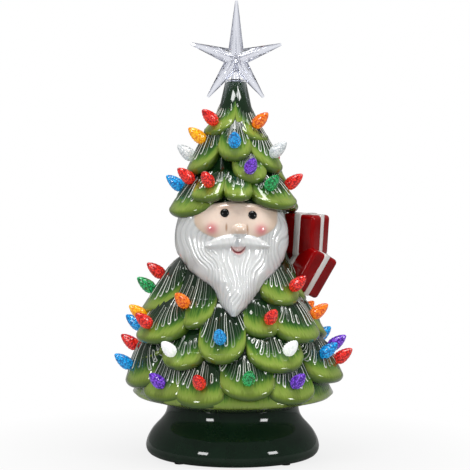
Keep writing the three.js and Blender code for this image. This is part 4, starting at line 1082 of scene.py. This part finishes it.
def build_bulbs():
    materials = bulb_materials()
    everywhere = {**BRANCHES, **BRIM}
    for number, (name, c, s, colour) in enumerate(FRONT_BULBS, 1):
        bm = bmesh.new()
        add_bulb(bm, bulb_matrix(everywhere[name], c, s))
        bulb = to_object(bm, f"twist_bulb_{number:02d}", [materials[colour]], 20)
        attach(bulb, "tree")
        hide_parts(f"bulb_{number:02d}")
    places = back_bulb_places()
    for k, colour in enumerate(BULB_COLOURS):
        bm = bmesh.new()
        for i, place in enumerate(places):
            if (i * 3) % len(BULB_COLOURS) == k:
                add_bulb(bm, place)
        bulbs = to_object(bm, f"back_bulbs_{colour}", [materials[colour]], 20)
        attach(bulbs, "tree")


# Star: five ridged rays on a stem, and the collar it turns in

def build_star():
    acrylic = clear_acrylic()
    bm = bmesh.new()
    for side in (-1, 1):
        made = bmesh.ops.create_circle(bm, cap_ends=True, cap_tris=True, segments=15, radius=1)["verts"]
        hub = min(made, key=lambda v: v.co.length)
        for vert in made:
            if vert is hub:
                vert.co = (0, side * STAR_DEPTH, 0)
                continue
            # Each ray takes three places: the left and right of its tip, then the corner after it
            ray, place = divmod(round(math.atan2(vert.co.x, vert.co.y) / (math.tau / 15)) % 15, 3)
            angle = (ray + (place == 2) / 2) * math.tau / 5
            reach = STAR_INNER if place == 2 else (STAR_SIDE_RAY if ray else STAR_TOP_RAY)
            off = (-STAR_TIP, STAR_TIP, 0)[place]
            side_x, side_z = math.sin(angle), math.cos(angle)
            vert.co = (reach * side_x + off * side_z, 0, reach * side_z - off * side_x)
    bmesh.ops.remove_doubles(bm, verts=bm.verts, dist=0.01)
    bmesh.ops.subdivide_edges(bm, edges=bm.edges, cuts=23, use_grid_fill=True)
    for vert in bm.verts:
        turn = math.atan2(vert.co.x, vert.co.z)
        ray = round(turn / (math.tau / 5)) * math.tau / 5
        off = vert.co.x * math.cos(ray) - vert.co.z * math.sin(ray)
        out = vert.co.x * math.sin(ray) + vert.co.z * math.cos(ray)
        thick = abs(vert.co.y)
        if thick > 0.01 and out > 1:
            # Flutes run along each ray, and its edges are rounded over
            flute = FLUTE_DEPTH * math.cos(abs(off) / FLUTE_PITCH * math.tau) * smooth((thick - 0.4) / 1.2)
            edge = STAR_EDGE * (1 - math.exp(-thick / STAR_EDGE_RUN))
            vert.co.y += math.copysign(flute + edge, vert.co.y)
    bmesh.ops.recalc_face_normals(bm, faces=bm.faces)
    place_mm(bm, Matrix.Translation((0, 0, STAR_Z)))
    star = to_object(bm, "clear_star", [acrylic], 25)
    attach(star, "star")
    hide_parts("star_topper")
    top = TREE_HEIGHT + TREE_Z
    stem = bmesh.new()
    spun(stem, [
        (0, top - 12), (3.6, top - 12), (3.9, top - 11), (3.9, top + 1.7), (3.5, top + 4), (3.2, top + 7),
        (3.1, STAR_Z - 6), (2.4, STAR_Z - 2.5), (0, STAR_Z - 2),
    ], 40)
    place_mm(stem)
    piece = to_object(stem, "clear_stem", [acrylic], 35)
    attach(piece, "star")
    collar = bmesh.new()
    spun(collar, [
        (4.3, top - 14), (6, top - 14), (6, top + 0.3), (7.2, top + 0.3), (7.2, top + 1.1), (6.9, top + 1.5),
        (6.6, top + 1.7), (4.3, top + 1.7),
    ], 48, closed=True)
    place_mm(collar)
    ring = to_object(collar, "clear_collar", [acrylic], 35)
    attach(ring, "collar")
    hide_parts("star_collar")


# Base: one turned shell with a belly, a crease and a locating ring

def build_base():
    belly = [(read_smooth(BASE_SIDE, 9 + 2 * i), 9 + 2 * i) for i in range(18)]
    under = [(66, 1.5), (68.2, 1.8), (70.2, 2.9), (71.7, 4.6), (72.5, 6.6)]
    inner = [(radius - 5, height) for radius, height in reversed(belly[1:15])]
    bm = bmesh.new()
    spun(bm, [
        (60, 1.5), *under, *belly, (54.8, 44.4), (54.2, 45),
        (49.1, 45), (49, 45.6), (48.5, 51), (45.1, 51), (45.1, 45), (12, 45), (12, 40), (49.8, 40), *inner,
        (67.8, 9.1), (56.7, 9.1), (56.7, 5.6), (60, 5.6),
    ], 128, closed=True)
    place_mm(bm)
    base = to_object(bm, "base_glaze", [plain_glaze("dark_green_glaze", "#12291a", "#0d2114")], 40)
    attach(base, "base")
    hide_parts("base_shell")


# Parts of the underside and of the lamp, which keep their CAD shape

def build_fittings():
    # ABS, injection moulded with a fine spark-eroded grain
    white = moulded("white_abs", "#e6e5e1", "#dddcd7", 0.45)
    black = moulded("black_abs", "#17181a", "#101113", 0.5)
    # Nickel-plated spring steel
    steel = moulded("nickel_plated_steel", "#c9cacd", "#aeb0b4", 0.28, 0.3, 1.0)
    # Printed film sleeve, left plain
    sleeve = moulded("battery_film_sleeve", "#2b2d31", "#232529", 0.3, 2.0)
    board = moulded("green_solder_mask", "#1a6a40", "#125233", 0.35, 0.6)
    rubber = moulded("black_rubber_pad", "#1b1b1b", "#121212", 0.85, 0.5)
    red = moulded("red_pvc_sleeve", "#b01515", "#921010", 0.4, 1.0)
    dark = moulded("black_pvc_sleeve", "#141414", "#0c0c0c", 0.4, 1.0)
    # Frosted epoxy lens over the lamp, lit
    lens = bulb_plastic("frosted_lamp_lens", "#fff3d6", "#ffe6b4", 1.2)
    finishes = [
        (white, ["battery_case", "battery_door", "led_column"]),
        (black, ["switch_body", "switch_slider"]),
        (steel, ["contact_plate"] + [f"contact_spring_{i}" for i in (1, 2, 3)]),
        (sleeve, [f"battery_{i}" for i in (1, 2, 3)]),
        (rubber, [f"rubber_foot_{i}" for i in (1, 2, 3, 4)]),
        (board, ["circuit_board"]), (lens, ["led_lamp"]),
        (red, ["lead_wire_red"]), (dark, ["lead_wire_black"]),
    ]
    for material, names in finishes:
        for node in (frame["nodes"][name] for name in names):
            for slot in node.material_slots:
                slot.material = material
            if not node.material_slots:
                node.data.materials.append(material)


# Stage: floor, soft boxes, world and camera

def seen_through(tree):
    """1 for what the camera sees, also through the clear star, and 0 for what lights the object."""
    path = add(tree, "ShaderNodeLightPath").outputs
    return add(tree, "ShaderNodeMath", {"operation": "MAXIMUM"}, {
        0: path["Is Camera Ray"], 1: path["Is Transmission Ray"],
    })


def soft_box(name, azimuth, elevation, wide, tall, radiance, distance=2.6):
    """A soft box that faces the object from an azimuth and elevation in degrees; 0 is in front of it."""
    a, e = math.radians(azimuth), math.radians(elevation)
    target = Vector((0, 0, CAD_BOX[1][2] / 2))
    away = Vector((math.sin(a) * math.cos(e), -math.cos(a) * math.cos(e), math.sin(e)))
    light = bpy.data.lights.new(name, "AREA")
    light.shape = "RECTANGLE"
    light.size, light.size_y = wide * distance, tall * distance
    light.energy = radiance * math.pi * light.size * light.size_y
    obj = bpy.data.objects.new(name, light)
    facing = away.to_track_quat("Z", "Y").to_matrix().to_4x4()
    obj.matrix_world = Matrix.Translation(target + away * distance) @ facing
    bpy.context.scene.collection.objects.link(obj)


def build_stage():
    scene = bpy.context.scene
    scene.view_settings.view_transform = "Standard"
    bm = bmesh.new()
    bmesh.ops.create_grid(bm, x_segments=1, y_segments=1, size=6)
    floor_material = bpy.data.materials.new("pale_studio_floor")
    floor_material.use_nodes = True
    tree = floor_material.node_tree
    tree.nodes.clear()
    diffuse = add(tree, "ShaderNodeBsdfDiffuse", {"Color": linear("#acacac")})
    white = add(tree, "ShaderNodeEmission", {"Color": (1, 1, 1, 1), "Strength": 1.0})
    place = add(tree, "ShaderNodeTexCoord").outputs["Object"]
    far = add(tree, "ShaderNodeVectorMath", {"operation": "LENGTH"}, {0: place}).outputs["Value"]
    # The shadow shows near the base and fades to white within 260 mm
    fade = add(tree, "ShaderNodeMapRange", {
        "From Min": 0.07, "From Max": 0.26, "To Min": 0.84, "To Max": 1.0,
    }, {"Value": far})
    share = add(tree, "ShaderNodeMath", {"operation": "MULTIPLY"}, {0: fade, 1: seen_through(tree)})
    mixed = add(tree, "ShaderNodeMixShader", {}, {0: share, 1: diffuse, 2: white})
    add(tree, "ShaderNodeOutputMaterial", {}, {0: mixed})
    floor = to_object(bm, "studio_floor", [floor_material])

    world = bpy.data.worlds.new("studio_white")
    scene.world = world
    world.use_nodes = True
    tree = world.node_tree
    tree.nodes.clear()
    level = add(tree, "ShaderNodeMapRange", {"To Min": WORLD_LIGHT, "To Max": 1.0}, {
        "Value": seen_through(tree),
    })
    glow = add(tree, "ShaderNodeBackground", {"Color": (1, 1, 1, 1)}, {"Strength": level})
    add(tree, "ShaderNodeOutputWorld", {}, {0: glow})

    for name, *place in SOFT_BOXES:
        soft_box(name, *place)

    camera = bpy.data.cameras.new("photo_camera")
    camera.sensor_width = 36
    camera.lens = CAMERA["lens"]
    camera.clip_end = 20
    view = bpy.data.objects.new("photo_camera", camera)
    scene.collection.objects.link(view)
    view.matrix_world = (
        Matrix.Translation(CAMERA["place"])
        @ Matrix.Rotation(math.radians(90 - CAMERA["pitch"]), 4, "X")
        @ Matrix.Rotation(math.radians(CAMERA["roll"]), 4, "Z")
    )
    scene.camera = view


# Operators, panel and registration

class CERAMIC_OT_stage(bpy.types.Operator):
    """Adds the floor, soft boxes, world and camera"""
    bl_idname = "ceramic.stage"
    bl_label = "Studio stage"

    def execute(self, context):
        build_stage()
        return {"FINISHED"}


class CERAMIC_OT_shell(bpy.types.Operator):
    """Builds the glazed tree shell with its needle-carved branches"""
    bl_idname = "ceramic.shell"
    bl_label = "Tree shell"

    def execute(self, context):
        build_shell()
        return {"FINISHED"}


class CERAMIC_OT_head(bpy.types.Operator):
    """Builds the bearded head and its bead eyes"""
    bl_idname = "ceramic.head"
    bl_label = "Bearded head"

    def execute(self, context):
        build_head()
        return {"FINISHED"}


class CERAMIC_OT_boxes(bpy.types.Operator):
    """Builds the two ribboned gift boxes"""
    bl_idname = "ceramic.boxes"
    bl_label = "Gift boxes"

    def execute(self, context):
        build_boxes()
        return {"FINISHED"}


class CERAMIC_OT_bulbs(bpy.types.Operator):
    """Builds the coloured push-in bulbs"""
    bl_idname = "ceramic.bulbs"
    bl_label = "Bulbs"

    def execute(self, context):
        build_bulbs()
        return {"FINISHED"}


class CERAMIC_OT_star(bpy.types.Operator):
    """Builds the clear star, its stem and its collar"""
    bl_idname = "ceramic.star"
    bl_label = "Star"

    def execute(self, context):
        build_star()
        return {"FINISHED"}


class CERAMIC_OT_base(bpy.types.Operator):
    """Builds the glazed base"""
    bl_idname = "ceramic.base"
    bl_label = "Base"

    def execute(self, context):
        build_base()
        return {"FINISHED"}


class CERAMIC_OT_fittings(bpy.types.Operator):
    """Finishes the battery case, lamp and leads that keep their CAD shape"""
    bl_idname = "ceramic.fittings"
    bl_label = "Fittings"

    def execute(self, context):
        build_fittings()
        return {"FINISHED"}


STEPS = (
    CERAMIC_OT_stage, CERAMIC_OT_base, CERAMIC_OT_shell, CERAMIC_OT_head, CERAMIC_OT_boxes, CERAMIC_OT_bulbs,
    CERAMIC_OT_star, CERAMIC_OT_fittings,
)


class CERAMIC_PT_panel(bpy.types.Panel):
    """Lists the pieces of the tree"""
    bl_idname = "CERAMIC_PT_panel"
    bl_label = "Ceramic tree"
    bl_space_type = "VIEW_3D"
    bl_region_type = "UI"
    bl_category = "Ceramic tree"

    def draw(self, context):
        for step in STEPS:
            self.layout.operator(step.bl_idname)
        for group in (context.scene.ceramic_tree_sizes, context.scene.ceramic_tree_colours):
            for name in group.bl_rna.properties.keys():
                if name not in ("rna_type", "name"):
                    self.layout.prop(group, name)


CLASSES = (CERAMIC_tree_sizes, CERAMIC_tree_colours, *STEPS, CERAMIC_PT_panel)


def register():
    for cls in CLASSES:
        bpy.utils.register_class(cls)
    bpy.types.Scene.ceramic_tree_sizes = bpy.props.PointerProperty(type=CERAMIC_tree_sizes)
    bpy.types.Scene.ceramic_tree_colours = bpy.props.PointerProperty(type=CERAMIC_tree_colours)


def unregister():
    del bpy.types.Scene.ceramic_tree_sizes
    del bpy.types.Scene.ceramic_tree_colours
    for cls in reversed(CLASSES):
        bpy.utils.unregister_class(cls)


def main():
    register()
    for step in STEPS:
        group, name = step.bl_idname.split(".")
        getattr(getattr(bpy.ops, group), name)()


if __name__ == "__main__":
    main()
